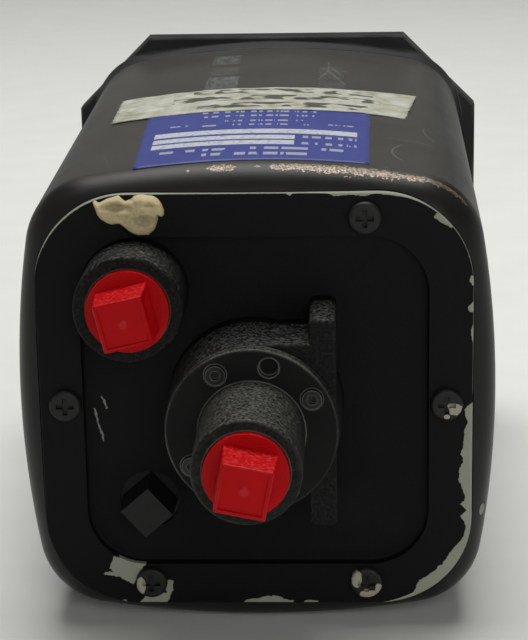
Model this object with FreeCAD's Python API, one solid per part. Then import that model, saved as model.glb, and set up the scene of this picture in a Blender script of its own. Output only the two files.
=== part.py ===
# Air-driven attitude indicator for a 3 1/8 inch panel hole.
#
# Frame: +Z is up, the dial looks along -Y and the ports along +Y. The origin is the centre of the four
# panel screws, on the face that seats behind the panel. All sizes are in millimetres.
import FreeCAD
import Part
import math
import os
from FreeCAD import Vector

# --- panel interface -------------------------------------------------------------------------------
flange_half = 42.85           # half the square flange
flange_chamfer = 15.3         # leg of each clipped corner
flange_t = 5.0
flange_edge = 0.35            # chamfer along the flange's edges
panel_hole_pitch = 62.87      # 2.475 in between panel screws, both ways
panel_tap_r = 1.4             # tapping hole of a 6-32 screw
panel_tap_depth = 8.0
spigot_r = 39.5               # round boss that enters the panel hole
spigot_h = 5.0

# --- case ------------------------------------------------------------------------------------------
case_half = 41.0              # at the crown of each side
crown_r = 170.0               # each side bulges on this radius
corner_r = 13.0
wall = 1.8
collar_t = 3.4                # part of the front casting that carries the case's outline on
collar_flare = 0.9            # the collar widens by this much towards the flange
seal_t = 0.4
rear_round = 6.5              # rolled rear edge of the case
rim_w = 4.2                   # case's rim round the rear cover
ledge_t = 4.0                 # inner ledge that the rear cover is screwed to
ledge_w = 8.4
throat_corner = 9.0
lug_r = 3.0                   # inner lugs that the front casting is screwed to
lug_len = 7.0
frame_screw_x = 20.0
frame_screw_inset = 3.2       # from the case's crown
frame_screw_head_r = 2.2
frame_screw_head_t = 1.2
frame_screw_r = 1.2
frame_screw_len = 12.0
screw_clearance = 0.1

# --- rear cover ------------------------------------------------------------------------------------
cover_half = case_half - rim_w
cover_corner = 16.0
cover_gap = 0.15
cover_t = 4.0
cover_border_w = 7.4
recess_half = cover_half - cover_border_w
throat_half = cover_half - ledge_w
throat_clear = 0.2            # round the cover's inner bosses
recess_corner = 10.0
recess_depth = 1.8
gasket_t = 0.8
cover_screw_x = 18.7          # the four corner screws
cover_screw_inset = 4.2
cover_screw_z = cover_half - cover_screw_inset
cover_screw_mid = cover_screw_z - 0.2   # the two screws at mid height
screw_head_r = 2.75
screw_head_t = 1.3
screw_shank_r = 1.4
screw_length = 7.0

# --- centre boss, air duct and inlet cap -----------------------------------------------------------
boss_r = 14.5
boss_draft = 0.6              # extra radius at the boss's foot
boss_h = 12.2                 # above the cover's border
boss_round = 0.6
recess_round = 0.5
duct_x = -13.9                # outer side of the vertical duct bar
duct_w = 4.5
duct_top = 18.6
duct_bottom = -17.3
cap_r = 14.3
cap_t = 2.0
cap_screw_circle_r = 11.5
cap_screw_angles = (60.0, 150.0, 240.0, 330.0)
cap_screw_head_r = 1.65
cap_screw_shank_r = 1.0
cap_blind_angle = 105.0
tube_r = 8.85
tube_h = 18.4                 # above the cap
tube_round = 0.6
port_r = 6.95                 # 1/4 pipe port
port_depth = 12.0
port_throat_r = 3.5
outlet_off_x = 1.3            # from the corner screw beside it
outlet_off_z = 12.7
outlet_x = cover_screw_x + outlet_off_x
outlet_z = cover_screw_z - outlet_off_z
outlet_boss_r = 9.1
outlet_boss_h = 10.5
drain_off_z = 14.6            # from the corner screw above which it lies
drain_x = cover_screw_x
drain_z = drain_off_z - cover_screw_z
drain_r = 5.2                 # 1/8 pipe port
drain_depth = 6.5
drain_wall = 2.2
filter_t = 2.4
filter_r = 9.6

# --- plugs -----------------------------------------------------------------------------------------
plug_gap = 0.1
plug_taper = 0.35
plug_engaged = 9.0
plug_proud = 1.2
plug_square = 8.8
plug_head_h = 7.2
plug_draft = 0.35
plug_round = 0.35             # moulded edges of the square head
plug_lip = 1.0
plug_sink = 0.3               # the head's face is sunk inside its lip
plug_bore_r = 4.2
plug_bore_depth = 5.0
drain_plug_square = 6.9
drain_plug_head_h = 6.6
drain_plug_sunk = 1.0
inlet_plug_turn = -11.6       # degrees about +Y at which each plug was left
outlet_plug_turn = 12.8
drain_plug_turn = 41.0

# --- glass and dial dish ---------------------------------------------------------------------------
glass_r = 31.0
glass_seat = 1.8              # width of the lip that the glass is pressed against
window_r = glass_r - glass_seat
glass_gap = 0.2
glass_t = 2.2
glass_gasket_t = 0.6
ring_t = 0.9
lip_t = 1.4                   # inner lip that the glass is pressed against
dish_inner_r = window_r - 4.7
dish_t = 0.8
dish_bend = 1.1               # the back's bend lies this much further out
dish_front = 3.9
dish_to_mask = 0.53            # room between the dial dish and the ring in front of the ball
dish_flange_r = window_r + 6.2
dish_screw_circle_r = window_r + 3.7
dish_screw_r = 0.8
dish_screw_head_r = 1.7
dish_post_r = 2.1

# --- miniature aircraft and its knob ---------------------------------------------------------------
knob_z = -glass_r - 3.4
knob_r = 5.0
knob_len = 9.0
knob_gap = 0.8
shaft_r = 1.2
shaft_gap = 0.05
crank_r = 3.2                 # throw of the crank pin
crank_disc_r = 4.3
crank_disc_t = 1.2
crank_pin_r = 0.6
fork_gap = 0.25               # all round the knob's shaft
tine_w = 1.2
foot_w = 3.05                 # right leg, which holds the crank pin's slot
gib_w = 1.4
gib_gap = 0.1
slot_gap = 0.25
slide_t = 0.8
slide_front = 0.5             # in front of the slide plate, behind the lip
stalk_w = 1.6
aircraft_span = 17.0          # half the wing span
aircraft_turn = 45.0          # degrees of the knob each way
aircraft_travel = 2.34        # of the little aircraft each way

# --- roll gimbal -----------------------------------------------------------------------------------
drum_r = dish_inner_r + 2.5
drum_wall = 1.0
drum_half_w = drum_r - 4.2
drum_cover_deg = 118.0        # the ball's skin covers this much each way from the front
drum_front = 3.2              # ball's front point behind the panel face
drum_to_sweep = 0.8
mask_t = 1.0
mask_window_r = dish_inner_r - 3.3
mask_gap = 0.35
arm_clear = 0.7               # between the crank pins' ends and the side arms
arm_t = 3.6
arm_half_h = 5.0
arm_boss_r = 6.6
rear_bar_t = 3.5
rear_room = 5.7               # from the rear bar to the rear cover
mask_lip = 0.6                # of the mask outside the arms
link_r = 11.5                 # throw of both cranks of the parallel link
link_gap = 1.4                # from the ball's end plate
link_pin_over = 0.5
link_t = 1.2
link_half_h = 1.1
link_eye_r = 2.3
link_pin_r = 1.0
crank_web_r = 2.4
far_pin_gap = 0.1             # at the ball's end of the rod
balance_r = 5.6               # weights that balance the ball, behind the gyro
balance_t = 3.2
pivot_r = 1.5
bush_r = 3.2
running_gap = 0.05

# --- gyro ------------------------------------------------------------------------------------------
rotor_r = 17.5
rotor_half_h = 9.8
rotor_gap = 0.7
housing_wall = 2.1
sweep_room = 1.1              # past the gyro's largest reach from its pitch axis
vane_block = 15.0
vane_block_h = 7.8
vane_t = 0.8
vane_gap = 0.4
bucket_count = 24

# --- roll bearings ---------------------------------------------------------------------------------
bearing_r = 8.0
bearing_bore_r = 4.0
bearing_w = 4.0
bearing_race_t = 1.1
bearing_balls = 8
bearing_hub_wall = 3.0
bearing_lip = 1.0
bearing_space = 3.5
circlip_t = 0.8
circlip_deep = 0.8           # into the bearing bore's wall
shaft_bore_r = 2.0
trunnion_flange_r = 8.0
trunnion_flange_t = 1.8
trunnion_circle_r = 6.6
trunnion_thread_r = 0.8
trunnion_screw_angles = (45, 135, 225, 315)

# --- places worked out from the sizes above --------------------------------------------------------
case_front = flange_t + collar_t + seal_t
housing_r = rotor_r + rotor_gap + housing_wall
housing_top = rotor_half_h + rotor_gap + housing_wall
chamber_r = rotor_r + rotor_gap
chamber_half_h = rotor_half_h + rotor_gap
lip_front = -spigot_h + ring_t + 0.4 + glass_t + glass_gasket_t
lip_back = lip_front + lip_t
slide_y = lip_back + slide_front
crank_y = slide_y + slide_t + 0.4
drum_y = drum_front + drum_r
housing_sweep = math.hypot(housing_r, housing_top) + sweep_room
gyro_y = drum_y + drum_r + drum_to_sweep + housing_sweep
rear_bar_y = gyro_y + housing_sweep + drum_to_sweep
cover_back = rear_bar_y + rear_bar_t + rear_room
border_y = cover_back + cover_t
gasket_back = cover_back - gasket_t
ledge_front = gasket_back - ledge_t
floor_y = border_y - recess_depth
boss_top = border_y + boss_h
cap_top = boss_top + cap_t
tube_top = cap_top + tube_h
outlet_top = border_y + outlet_boss_h
link_x = drum_half_w + link_gap
arm_in = link_x + link_t + link_pin_over + arm_clear
arm_out = arm_in + arm_t
mask_r = arm_out + mask_lip
mask_back = drum_y - math.sqrt(drum_r ** 2 - mask_window_r ** 2) - mask_gap
dish_depth = mask_back - mask_t - dish_to_mask - dish_t - dish_front
bearing_front = rear_bar_y + rear_bar_t + 3.6
bearing_rear = bearing_front + bearing_w + bearing_space
filter_seat = boss_top - filter_t - 0.2


# --- shapes used by several pieces -----------------------------------------------------------------
def point(x, z, y=0.0):
    return Vector(x, y, z)


def y_rod(x, z, r, y0, y1):
    """A round bar along +Y."""
    return Part.makeCylinder(r, y1 - y0, Vector(x, y0, z), Vector(0, 1, 0))


def y_ring(x, z, r_in, r_out, y0, y1):
    """A round ring along +Y."""
    return y_rod(x, z, r_out, y0, y1).cut(y_rod(x, z, r_in, y0 - 1, y1 + 1))


def x_rod(y, z, r, x0, x1):
    """A round bar along +X."""
    return Part.makeCylinder(r, x1 - x0, Vector(x0, y, z), Vector(1, 0, 0))


def z_rod(x, y, r, z0, z1):
    """A round bar along +Z."""
    return Part.makeCylinder(r, z1 - z0, Vector(x, y, z0), Vector(0, 0, 1))


def block(x0, x1, y0, y1, z0, z1):
    return Part.makeBox(x1 - x0, y1 - y0, z1 - z0, Vector(x0, y0, z0))


def along_y(wire, y0, y1):
    """The prism of a closed wire drawn at y = 0."""
    face = Part.Face(wire)
    face.translate(Vector(0, y0, 0))
    return face.extrude(Vector(0, y1 - y0, 0))


def crowned_square(inset=0.0):
    """The case's outline: four bulged sides and round corners, moved in by inset."""
    side_r = crown_r - inset
    r = corner_r - inset
    k = crown_r - case_half
    c = (math.sqrt(2 * (crown_r - corner_r) ** 2 - k ** 2) - k) / 2
    reach = math.hypot(c, c + k)
    tx, tz = side_r * c / reach, side_r * (c + k) / reach - k
    mid = c + r * math.sqrt(0.5)
    top = case_half - inset
    edges = []
    for turn in range(4):
        side = Part.Arc(point(-tx, tz), point(0, top), point(tx, tz)).toShape()
        corner = Part.Arc(point(tx, tz), point(mid, mid), point(tz, tx)).toShape()
        for edge in (side, corner):
            edge.rotate(Vector(0, 0, 0), Vector(0, 1, 0), 90.0 * turn)
            edges.append(edge)
    return Part.Wire(Part.sortEdges(edges)[0])


def round_square(half, r):
    """A square with straight sides and round corners."""
    c = half - r
    mid = c + r * math.sqrt(0.5)
    edges = []
    for turn in range(4):
        side = Part.LineSegment(point(-c, half), point(c, half)).toShape()
        corner = Part.Arc(point(c, half), point(mid, mid), point(half, c)).toShape()
        for edge in (side, corner):
            edge.rotate(Vector(0, 0, 0), Vector(0, 1, 0), 90.0 * turn)
            edges.append(edge)
    return Part.Wire(Part.sortEdges(edges)[0])


def clipped_square(half, clip):
    """A square with its corners cut off."""
    c = half - clip
    points = [(-c, half), (c, half), (half, c), (half, -c), (c, -half), (-c, -half), (-half, -c), (-half, c)]
    corners = [point(x, z) for x, z in points]
    return Part.makePolygon(corners + corners[:1])


def around(circle_r, degrees):
    """x and z of a point on a circle about the Y axis."""
    a = math.radians(degrees)
    return circle_r * math.cos(a), circle_r * math.sin(a)


def in_plane(edge, y):
    """True for an edge that lies in the plane at y."""
    return abs(edge.BoundBox.YMin - y) < 1e-6 and abs(edge.BoundBox.YMax - y) < 1e-6


def fuse(shapes):
    first = shapes[0]
    return first.fuse(shapes[1:]).removeSplitter() if len(shapes) > 1 else first


def cut(shape, tools):
    return shape.cut(tools).removeSplitter()


def several(shapes):
    """Separate solids kept in one node."""
    return Part.makeCompound(shapes)


def square_bar(side, draft, y0, y1, turn, x=0.0, z=0.0):
    """A square bar along +Y that narrows by draft on each side, turned about its own axis."""
    def square(half, y):
        corners = [point(-half, half, y), point(half, half, y), point(half, -half, y), point(-half, -half, y)]
        return Part.makePolygon(corners + corners[:1])
    bar = Part.makeLoft([square(side / 2, y0), square(side / 2 - draft, y1)], True)
    bar.rotate(Vector(0, 0, 0), Vector(0, 1, 0), turn)
    bar.translate(Vector(x, 0, z))
    return bar


def cross_recess(x, z, y, reach, depth):
    """The cross slot of a screw whose head's face is at y and looks along +Y."""
    slot = 0.28 * reach
    return [block(x - reach, x + reach, y - depth, y + 1, z - slot, z + slot),
            block(x - slot, x + slot, y - depth, y + 1, z - reach, z + reach)]


def rear_screw(x, z, y, head_r, head_t, shank_r, length):
    """A pan-head cross-recess screw driven along -Y, seated on the face at y."""
    head = y_rod(x, z, head_r, y, y + head_t)
    head = head.makeFillet(0.45 * head_t, [e for e in head.Edges if in_plane(e, y + head_t)])
    head = cut(head, cross_recess(x, z, y + head_t, 0.55 * head_r, 0.6 * head_t))
    return fuse([head, y_rod(x, z, shank_r, y - length, y)])


# --- front casting, glass and dial -----------------------------------------------------------------
def panel_holes():
    """Places of the four panel screws."""
    p = panel_hole_pitch / 2
    return [(p, p), (-p, p), (-p, -p), (p, -p)]


frame_screw_z = case_half - frame_screw_inset
frame_bore_r = dish_flange_r + 1.6
crank_pocket = (-5.4, 7.0)    # room for the crank and the fork in the flange, left and right of the shaft


def frame_screw_places():
    return [(sx * frame_screw_x, sz * frame_screw_z) for sx in (-1, 1) for sz in (-1, 1)]


def dish_screw_places():
    return [around(dish_screw_circle_r, a) for a in (45, 135, 225, 315)]


def make_front_frame():
    """Front casting: clipped square flange, round spigot in front and a collar with the case's outline."""
    flange = along_y(clipped_square(flange_half, flange_chamfer), 0, flange_t)
    flange = flange.makeChamfer(flange_edge, [e for e in flange.Edges if in_plane(e, 0) or in_plane(e, flange_t)])
    foot, rim = crowned_square(-collar_flare), crowned_square()
    foot.translate(Vector(0, flange_t, 0))
    rim.translate(Vector(0, flange_t + collar_t, 0))
    collar = Part.makeLoft([foot, rim], True, True)
    spigot = y_rod(0, 0, spigot_r, -spigot_h, 0)
    rim = [e for e in spigot.Edges if abs(e.BoundBox.YMax + spigot_h) < 1e-6 and len(e.Vertexes) == 1]
    spigot = spigot.makeFillet(0.8, rim)
    body = fuse([flange, collar, spigot])
    tools = [y_rod(0, 0, glass_r + glass_gap, -spigot_h - 1, lip_front),
             y_rod(0, 0, window_r, -spigot_h - 1, flange_t + collar_t + 1),
             y_rod(0, 0, frame_bore_r, lip_back, flange_t + collar_t + 1),
             y_ring(0, 0, glass_r, glass_r + 0.9, -spigot_h + 0.4, -spigot_h + 0.4 + ring_t),
             y_rod(0, knob_z, shaft_r + shaft_gap, -spigot_h - 1, lip_back + 1),
             y_rod(0, knob_z, 2.2, -spigot_h - 1, -spigot_h + 2.0),
             block(*crank_pocket, lip_back, flange_t - 0.2, knob_z - crank_disc_r - 1.6, knob_z + 3)]
    for x, z in panel_holes():
        tools.append(y_rod(x, z, panel_tap_r, -1, panel_tap_depth))
    for x, z in frame_screw_places():
        tools.append(y_rod(x, z, frame_screw_r + screw_clearance, -1, flange_t + collar_t + 1))
        tools.append(Part.makeCone(frame_screw_head_r + 0.05, frame_screw_r + screw_clearance, frame_screw_head_t,
                                   Vector(x, 0, z), Vector(0, 1, 0)))
    body = cut(body, tools)
    posts = []
    for x, z in dish_screw_places():
        post = y_rod(x, z, dish_post_r, lip_back - 0.2, dish_front)
        posts.append(post.fuse(y_rod(x * 1.07, z * 1.07, dish_post_r + 0.3, lip_back - 0.2, dish_front)))
    body = fuse([body] + posts)
    return cut(body, [y_rod(x, z, dish_screw_r, dish_front - 2.4, dish_front + 1) for x, z in dish_screw_places()])


def make_front_seal():
    outer = along_y(crowned_square(0.3), flange_t + collar_t, case_front)
    seal = outer.cut(along_y(crowned_square(wall), flange_t + collar_t - 1, case_front + 1))
    return seal.cut([y_rod(x, z, frame_screw_r + screw_clearance, 0, case_front + 1) for x, z in frame_screw_places()])


def make_frame_screws():
    screws = []
    for x, z in frame_screw_places():
        head = Part.makeCone(frame_screw_head_r, frame_screw_r, frame_screw_head_t, Vector(x, 0, z), Vector(0, 1, 0))
        shank = y_rod(x, z, frame_screw_r, frame_screw_head_t, frame_screw_len)
        slot = block(x - frame_screw_head_r, x + frame_screw_head_r, -1, 0.5, z - 0.25, z + 0.25)
        screws.append(cut(fuse([head, shank]), [slot]))
    return several(screws)


def make_glass():
    y1 = lip_front - glass_gasket_t
    return y_rod(0, 0, glass_r, y1 - glass_t, y1)


def make_glass_gasket():
    return y_ring(0, 0, window_r, glass_r, lip_front - glass_gasket_t, lip_front)


def make_retaining_ring():
    """Split spring ring in the groove in front of the glass."""
    y0 = -spigot_h + 0.4
    ring = y_ring(0, 0, glass_r - 1.2, glass_r + 0.8, y0, y0 + ring_t)
    return cut(ring, [block(-2.5, 2.5, y0 - 1, y0 + ring_t + 1, -glass_r - 3, -glass_r + 4)])


def make_bank_scale_dish():
    """Conical dish between the window and the ball; the bank scale is printed on it."""
    profile = [point(dish_flange_r, 0, dish_front), point(window_r + 0.3, 0, dish_front),
               point(dish_inner_r, 0, dish_front + dish_depth),
               point(dish_inner_r, 0, dish_front + dish_depth + dish_t),
               point(window_r + 0.3 + dish_bend, 0, dish_front + dish_t),
               point(dish_flange_r, 0, dish_front + dish_t)]
    wire = Part.makePolygon(profile + profile[:1])
    dish = Part.Face(wire).revolve(Vector(0, 0, 0), Vector(0, 1, 0), 360)
    holes = [y_rod(x, z, dish_screw_r + screw_clearance, 0, dish_front + 5) for x, z in dish_screw_places()]
    return cut(dish, holes)


def make_dish_screws():
    y = dish_front + dish_t
    return several([rear_screw(x, z, y, dish_screw_head_r, 0.9, dish_screw_r, dish_t + 2.2)
                    for x, z in dish_screw_places()])


# --- miniature aircraft ----------------------------------------------------------------------------
fork_left = -shaft_r - fork_gap        # inner side of the left tine
fork_right = shaft_r + fork_gap + 0.4  # inner side of the right leg
fork_top = knob_z + shaft_r + aircraft_travel + fork_gap
neck_h = 1.3
pin_slot = crank_pin_r + slot_gap


def make_aircraft_slide():
    """Stalk that ends in a fork astride the knob's shaft; the crank pin runs in a slot in the right leg."""
    y0, y1 = slide_y, slide_y + slide_t
    left, right = fork_left - tine_w, fork_right + foot_w
    neck_top = fork_top + neck_h
    stalk = block(-stalk_w / 2, stalk_w / 2, y0, y1, fork_top, -0.8)
    neck = block(left, right, y0, y1, fork_top, neck_top)
    tine = block(left, fork_left, y0, y1, knob_z, neck_top)
    leg = block(fork_right, right, y0, y1, knob_z - pin_slot - 0.9, neck_top)
    slot = block(fork_right - 1, crank_r + crank_pin_r + 0.1, y0 - 1, y1 + 1, knob_z - pin_slot, knob_z + pin_slot)
    return cut(fuse([stalk, neck, tine, leg]), [slot])


def make_slide_gibs():
    """Two strips behind the lip, left and right of the fork."""
    y1 = slide_y + slide_t
    left, right = fork_left - tine_w - gib_gap, fork_right + foot_w + gib_gap
    z0, z1 = knob_z + 0.2, knob_z + 3.4
    return several([block(left - gib_w, left, lip_back, y1, z0, z1), block(right, right + gib_w, lip_back, y1, z0, z1)])


def make_miniature_aircraft():
    """Wings, wing tips and the centre dot of the little aircraft."""
    y0, y1 = slide_y - 0.7, slide_y
    pieces = [y_rod(0, 0, 1.3, y0, y1)]
    for side in (-1, 1):
        x0, x1 = sorted((side * 4.5, side * aircraft_span))
        pieces.append(block(x0, x1, y0, y1, -0.6, 0.6))
        x0, x1 = sorted((side * 4.5, side * 5.7))
        pieces.append(block(x0, x1, y0, y1, -3.2, 0.6))
    pieces.append(block(-5.7, 5.7, y0, y1, -3.6, -2.6))
    pieces.append(block(-0.6, 0.6, y0, y1, -3.0, 0.0))
    return fuse(pieces)


def make_adjust_shaft():
    collar = y_rod(0, knob_z, 2.1, -spigot_h + 0.1, -spigot_h + 1.0)
    return fuse([y_rod(0, knob_z, shaft_r, -spigot_h - knob_gap - knob_len + 1.5, crank_y + crank_disc_t), collar])


def make_shaft_seal():
    """Rubber ring in the recess round the knob's shaft."""
    y0 = -spigot_h + 1.05
    return y_ring(0, knob_z, shaft_r + shaft_gap, 2.2, y0, y0 + 0.9)


def make_crank_disc():
    disc = y_ring(0, knob_z, shaft_r, crank_disc_r, crank_y, crank_y + crank_disc_t)
    return fuse([disc, y_rod(crank_r, knob_z, crank_pin_r, slide_y - 0.3, crank_y + crank_disc_t)])


def make_adjust_knob():
    """Fluted knob on the end of the adjusting shaft."""
    y1 = -spigot_h - knob_gap
    y0 = y1 - knob_len
    knob = y_rod(0, knob_z, knob_r, y0, y1)
    knob = knob.makeChamfer(0.7, [e for e in knob.Edges if in_plane(e, y0)])
    flutes = []
    for i in range(18):
        x, z = around(knob_r + 0.35, 20.0 * i)
        flutes.append(y_rod(x, knob_z + z, 0.7, y0 - 1, y1 - 2.2))
    bore = y_rod(0, knob_z, shaft_r, y0 + 1.5, y1 + 1)
    grub = x_rod(y1 - 1.2, knob_z, 0.6, 0, knob_r + 1)
    return cut(knob, flutes + [bore, grub])


def make_knob_grub_screw():
    y = -spigot_h - knob_gap - 1.2
    screw = x_rod(y, knob_z, 0.6, shaft_r, knob_r - 0.4)
    return cut(screw, [x_rod(y, knob_z, 0.25, knob_r - 1.2, knob_r)])


# --- case and rear cover ---------------------------------------------------------------------------
def cover_screw_places():
    corners = [(sx * cover_screw_x, sz * cover_screw_z) for sz in (1, -1) for sx in (1, -1)]
    return corners + [(cover_screw_mid, 0.0), (-cover_screw_mid, 0.0)]


def inner_boss_room(y0, y1):
    """Room round the outlet's and the drain's bosses where they pass through the throat."""
    return [y_rod(outlet_x, outlet_z, port_r + throat_clear, y0, y1),
            y_rod(drain_x, drain_z, drain_r + drain_wall + throat_clear, y0, y1)]


def make_case_shell():
    """Drawn case: bulged sides, rolled rear edge, and an inner ledge for the rear cover."""
    body = along_y(crowned_square(), case_front, border_y)
    rear = [e for e in body.Edges if in_plane(e, border_y)]
    body = body.makeFillet(rear_round, rear)
    tools = [along_y(crowned_square(wall), case_front - 1, ledge_front),
             along_y(round_square(throat_half, throat_corner), ledge_front - 1, gasket_back + 1),
             along_y(round_square(cover_half + cover_gap, cover_corner + cover_gap), gasket_back, border_y + 1)]
    body = cut(body, tools)
    lugs = []
    for x, z in frame_screw_places():
        root = z + math.copysign(lug_r, z)
        lug = y_rod(x, z, lug_r, case_front, case_front + lug_len)
        lugs.append(lug.fuse(block(x - lug_r, x + lug_r, case_front, case_front + lug_len, min(z, root), max(z, root))))
    room = along_y(crowned_square(), case_front - 1, border_y)
    body = fuse([body] + [lug.common(room) for lug in lugs])
    holes = [y_rod(x, z, frame_screw_r, case_front - 1, frame_screw_len + 0.5) for x, z in frame_screw_places()]
    holes += [y_rod(x, z, screw_shank_r, ledge_front + 0.8, gasket_back + 1) for x, z in cover_screw_places()]
    return cut(body, holes + inner_boss_room(ledge_front - 1, gasket_back + 1))


def make_rear_gasket():
    sheet = along_y(round_square(cover_half, cover_corner), gasket_back, cover_back)
    holes = [along_y(round_square(throat_half, throat_corner), gasket_back - 1, cover_back + 1)]
    holes += [y_rod(x, z, screw_shank_r, gasket_back - 1, cover_back + 1) for x, z in cover_screw_places()]
    return cut(sheet, holes + inner_boss_room(gasket_back - 1, cover_back + 1))


hub_r = bearing_r + bearing_hub_wall
hub_front = bearing_front - bearing_lip


def make_rear_cover():
    """Cast rear cover: sunk middle panel, bearing boss with its air duct, outlet boss and drain boss."""
    plate = along_y(round_square(cover_half, cover_corner), cover_back, border_y)
    plate = plate.makeFillet(0.4, [e for e in plate.Edges if in_plane(e, border_y)])
    sunk = along_y(round_square(recess_half, recess_corner), floor_y, border_y + 1)
    sunk = sunk.makeFillet(recess_round, [e for e in sunk.Edges if in_plane(e, floor_y)])
    plate = plate.cut(sunk)
    boss = Part.makeCone(boss_r + boss_draft, boss_r, boss_top - cover_back, Vector(0, cover_back, 0), Vector(0, 1, 0))
    bar = block(duct_x, duct_x + duct_w, cover_back, boss_top, duct_bottom, duct_top)
    bar = bar.makeFillet(1.2, [e for e in bar.Edges if e.BoundBox.YLength > 1])
    bridge = block(duct_x + duct_w / 2, 0.0, cover_back, boss_top, 0.0, boss_r)
    raised = fuse([boss, bar, bridge])
    raised = raised.makeFillet(boss_round, [e for e in raised.Edges if in_plane(e, boss_top)])
    outlet = y_rod(outlet_x, outlet_z, outlet_boss_r, cover_back, outlet_top)
    outlet = outlet.makeFillet(boss_round, [e for e in outlet.Edges if in_plane(e, outlet_top)])
    hub = y_rod(0, 0, hub_r, hub_front, cover_back + 1)
    inner_outlet = y_rod(outlet_x, outlet_z, port_r, cover_back - 3.0, cover_back + 1)
    inner_drain = y_rod(drain_x, drain_z, drain_r + drain_wall, floor_y - drain_depth, cover_back + 1)
    body = fuse([plate, raised, outlet, hub, inner_outlet, inner_drain])
    groove = bearing_rear + bearing_w
    tools = [y_rod(0, 0, bearing_r, bearing_front, filter_seat + 1),
             y_ring(0, 0, bearing_r, bearing_r + circlip_deep, groove, groove + circlip_t + 0.1),
             y_rod(0, 0, bearing_r - 1.2, hub_front - 1, filter_seat + 1),
             y_rod(0, 0, filter_r + 0.2, filter_seat, boss_top + 1),
             y_rod(outlet_x, outlet_z, port_r, outlet_top - port_depth, outlet_top + 1),
             y_rod(outlet_x, outlet_z, port_throat_r, cover_back - 4, outlet_top),
             y_rod(drain_x, drain_z, drain_r, floor_y - drain_depth + 1.5, floor_y + 1),
             y_rod(drain_x, drain_z, 2.5, floor_y - drain_depth - 1, floor_y)]
    tools += [y_rod(x, z, screw_shank_r + 0.1, cover_back - 1, border_y + 1) for x, z in cover_screw_places()]
    for a in cap_screw_angles:
        x, z = around(cap_screw_circle_r, a)
        tools.append(y_rod(x, z, cap_screw_shank_r, boss_top - 6.0, boss_top + 1))
    return cut(body, tools)


def make_cover_screws():
    y = border_y
    return several([rear_screw(x, z, y, screw_head_r, screw_head_t, screw_shank_r, screw_length)
                    for x, z in cover_screw_places()])


def make_inlet_cap():
    """Round cap with the air inlet tube; four screws hold it over the filter."""
    plate = y_rod(0, 0, cap_r, boss_top, cap_top)
    plate = plate.makeFillet(0.35, [e for e in plate.Edges if in_plane(e, cap_top)])
    tube = y_rod(0, 0, tube_r, boss_top + 0.5, tube_top)
    tube = tube.makeFillet(tube_round, [e for e in tube.Edges if in_plane(e, tube_top)])
    body = fuse([plate, tube])
    tools = [y_rod(0, 0, port_r, tube_top - port_depth, tube_top + 1),
             y_rod(0, 0, port_throat_r, boss_top - 1, tube_top)]
    for a in cap_screw_angles:
        x, z = around(cap_screw_circle_r, a)
        tools.append(y_rod(x, z, cap_screw_head_r + 0.15, cap_top - 1.0, cap_top + 1))
        tools.append(y_rod(x, z, cap_screw_shank_r + 0.1, boss_top - 1, cap_top + 1))
    x, z = around(cap_screw_circle_r, cap_blind_angle)
    tools.append(y_rod(x, z, cap_screw_head_r, cap_top - 1.2, cap_top + 1))
    return cut(body, tools)


def make_cap_screws():
    """Socket screws sunk in the cap."""
    screws = []
    for a in cap_screw_angles:
        x, z = around(cap_screw_circle_r, a)
        head = y_rod(x, z, cap_screw_head_r, cap_top - 1.0, cap_top + 0.5)
        shank = y_rod(x, z, cap_screw_shank_r, boss_top - 4.0, cap_top - 1.0)
        hexagon = Part.makePolygon([point(x + around(0.85, 60 * i)[0], z + around(0.85, 60 * i)[1]) for i in range(7)])
        screws.append(cut(fuse([head, shank]), [along_y(hexagon, cap_top - 0.4, cap_top + 1)]))
    return several(screws)


def make_inlet_filter():
    disc = y_rod(0, 0, filter_r, boss_top - filter_t, boss_top)
    return disc


def make_pipe_plug(x, z, rim_y, turn):
    """Moulded pipe plug: tapered body and a square head to turn it by."""
    y0 = rim_y - plug_engaged
    body = Part.makeCone(port_r - plug_gap - plug_taper, port_r - plug_gap, plug_engaged, Vector(x, y0, z), Vector(0, 1, 0))
    collar = y_rod(x, z, port_r - plug_gap, rim_y, rim_y + plug_proud)
    face = rim_y + plug_proud + plug_head_h
    head = square_bar(plug_square, plug_draft, rim_y + plug_proud - 0.3, face, turn, x, z)
    head = head.makeFillet(plug_round, [e for e in head.Edges if e.BoundBox.YMax > rim_y + plug_proud])
    sink = square_bar(plug_square - 2 * plug_lip, 0, face - plug_sink, face + 1, turn, x, z)
    hollow = y_rod(x, z, plug_bore_r, y0 - 1, y0 + plug_bore_depth)
    return cut(fuse([body, collar, head]), [sink, hollow])


def make_drain_plug():
    """Square-head plug sunk in the third port."""
    top = floor_y - drain_plug_sunk
    body = y_rod(drain_x, drain_z, drain_r, floor_y - drain_depth + 1.5, top)
    head = square_bar(drain_plug_square, 0.3, top - 0.5, top + drain_plug_head_h + drain_plug_sunk, drain_plug_turn,
                      drain_x, drain_z)
    return fuse([body, head])


def make_seal_putty():
    """Dab of sealing putty over one cover screw, spread from the screw towards the corner."""
    x, z = cover_screw_x, cover_screw_z
    lump = Part.makeSphere(1.0)
    shape = FreeCAD.Matrix()
    shape.scale(4.4, 2.6, 3.2)
    big = lump.transformGeometry(shape)
    big.translate(Vector(x, border_y + 0.2, z - 0.6))
    shape = FreeCAD.Matrix()
    shape.scale(3.6, 1.9, 2.4)
    small = lump.transformGeometry(shape)
    small.translate(Vector(x + 4.4, border_y, z + 0.2))
    putty = big.fuse(small)
    tools = [block(x - 20, x + 20, border_y - 9, border_y, z - 9, z + 9)]
    tools.append(y_rod(x, z, screw_head_r, border_y - 1, border_y + screw_head_t))
    tools.append(y_rod(outlet_x, outlet_z, outlet_boss_r + 0.05, border_y - 1, outlet_top))
    return cut(putty, tools)


# --- roll bearings and shaft -----------------------------------------------------------------------
def bearing_places():
    return [bearing_front, bearing_rear]


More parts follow.
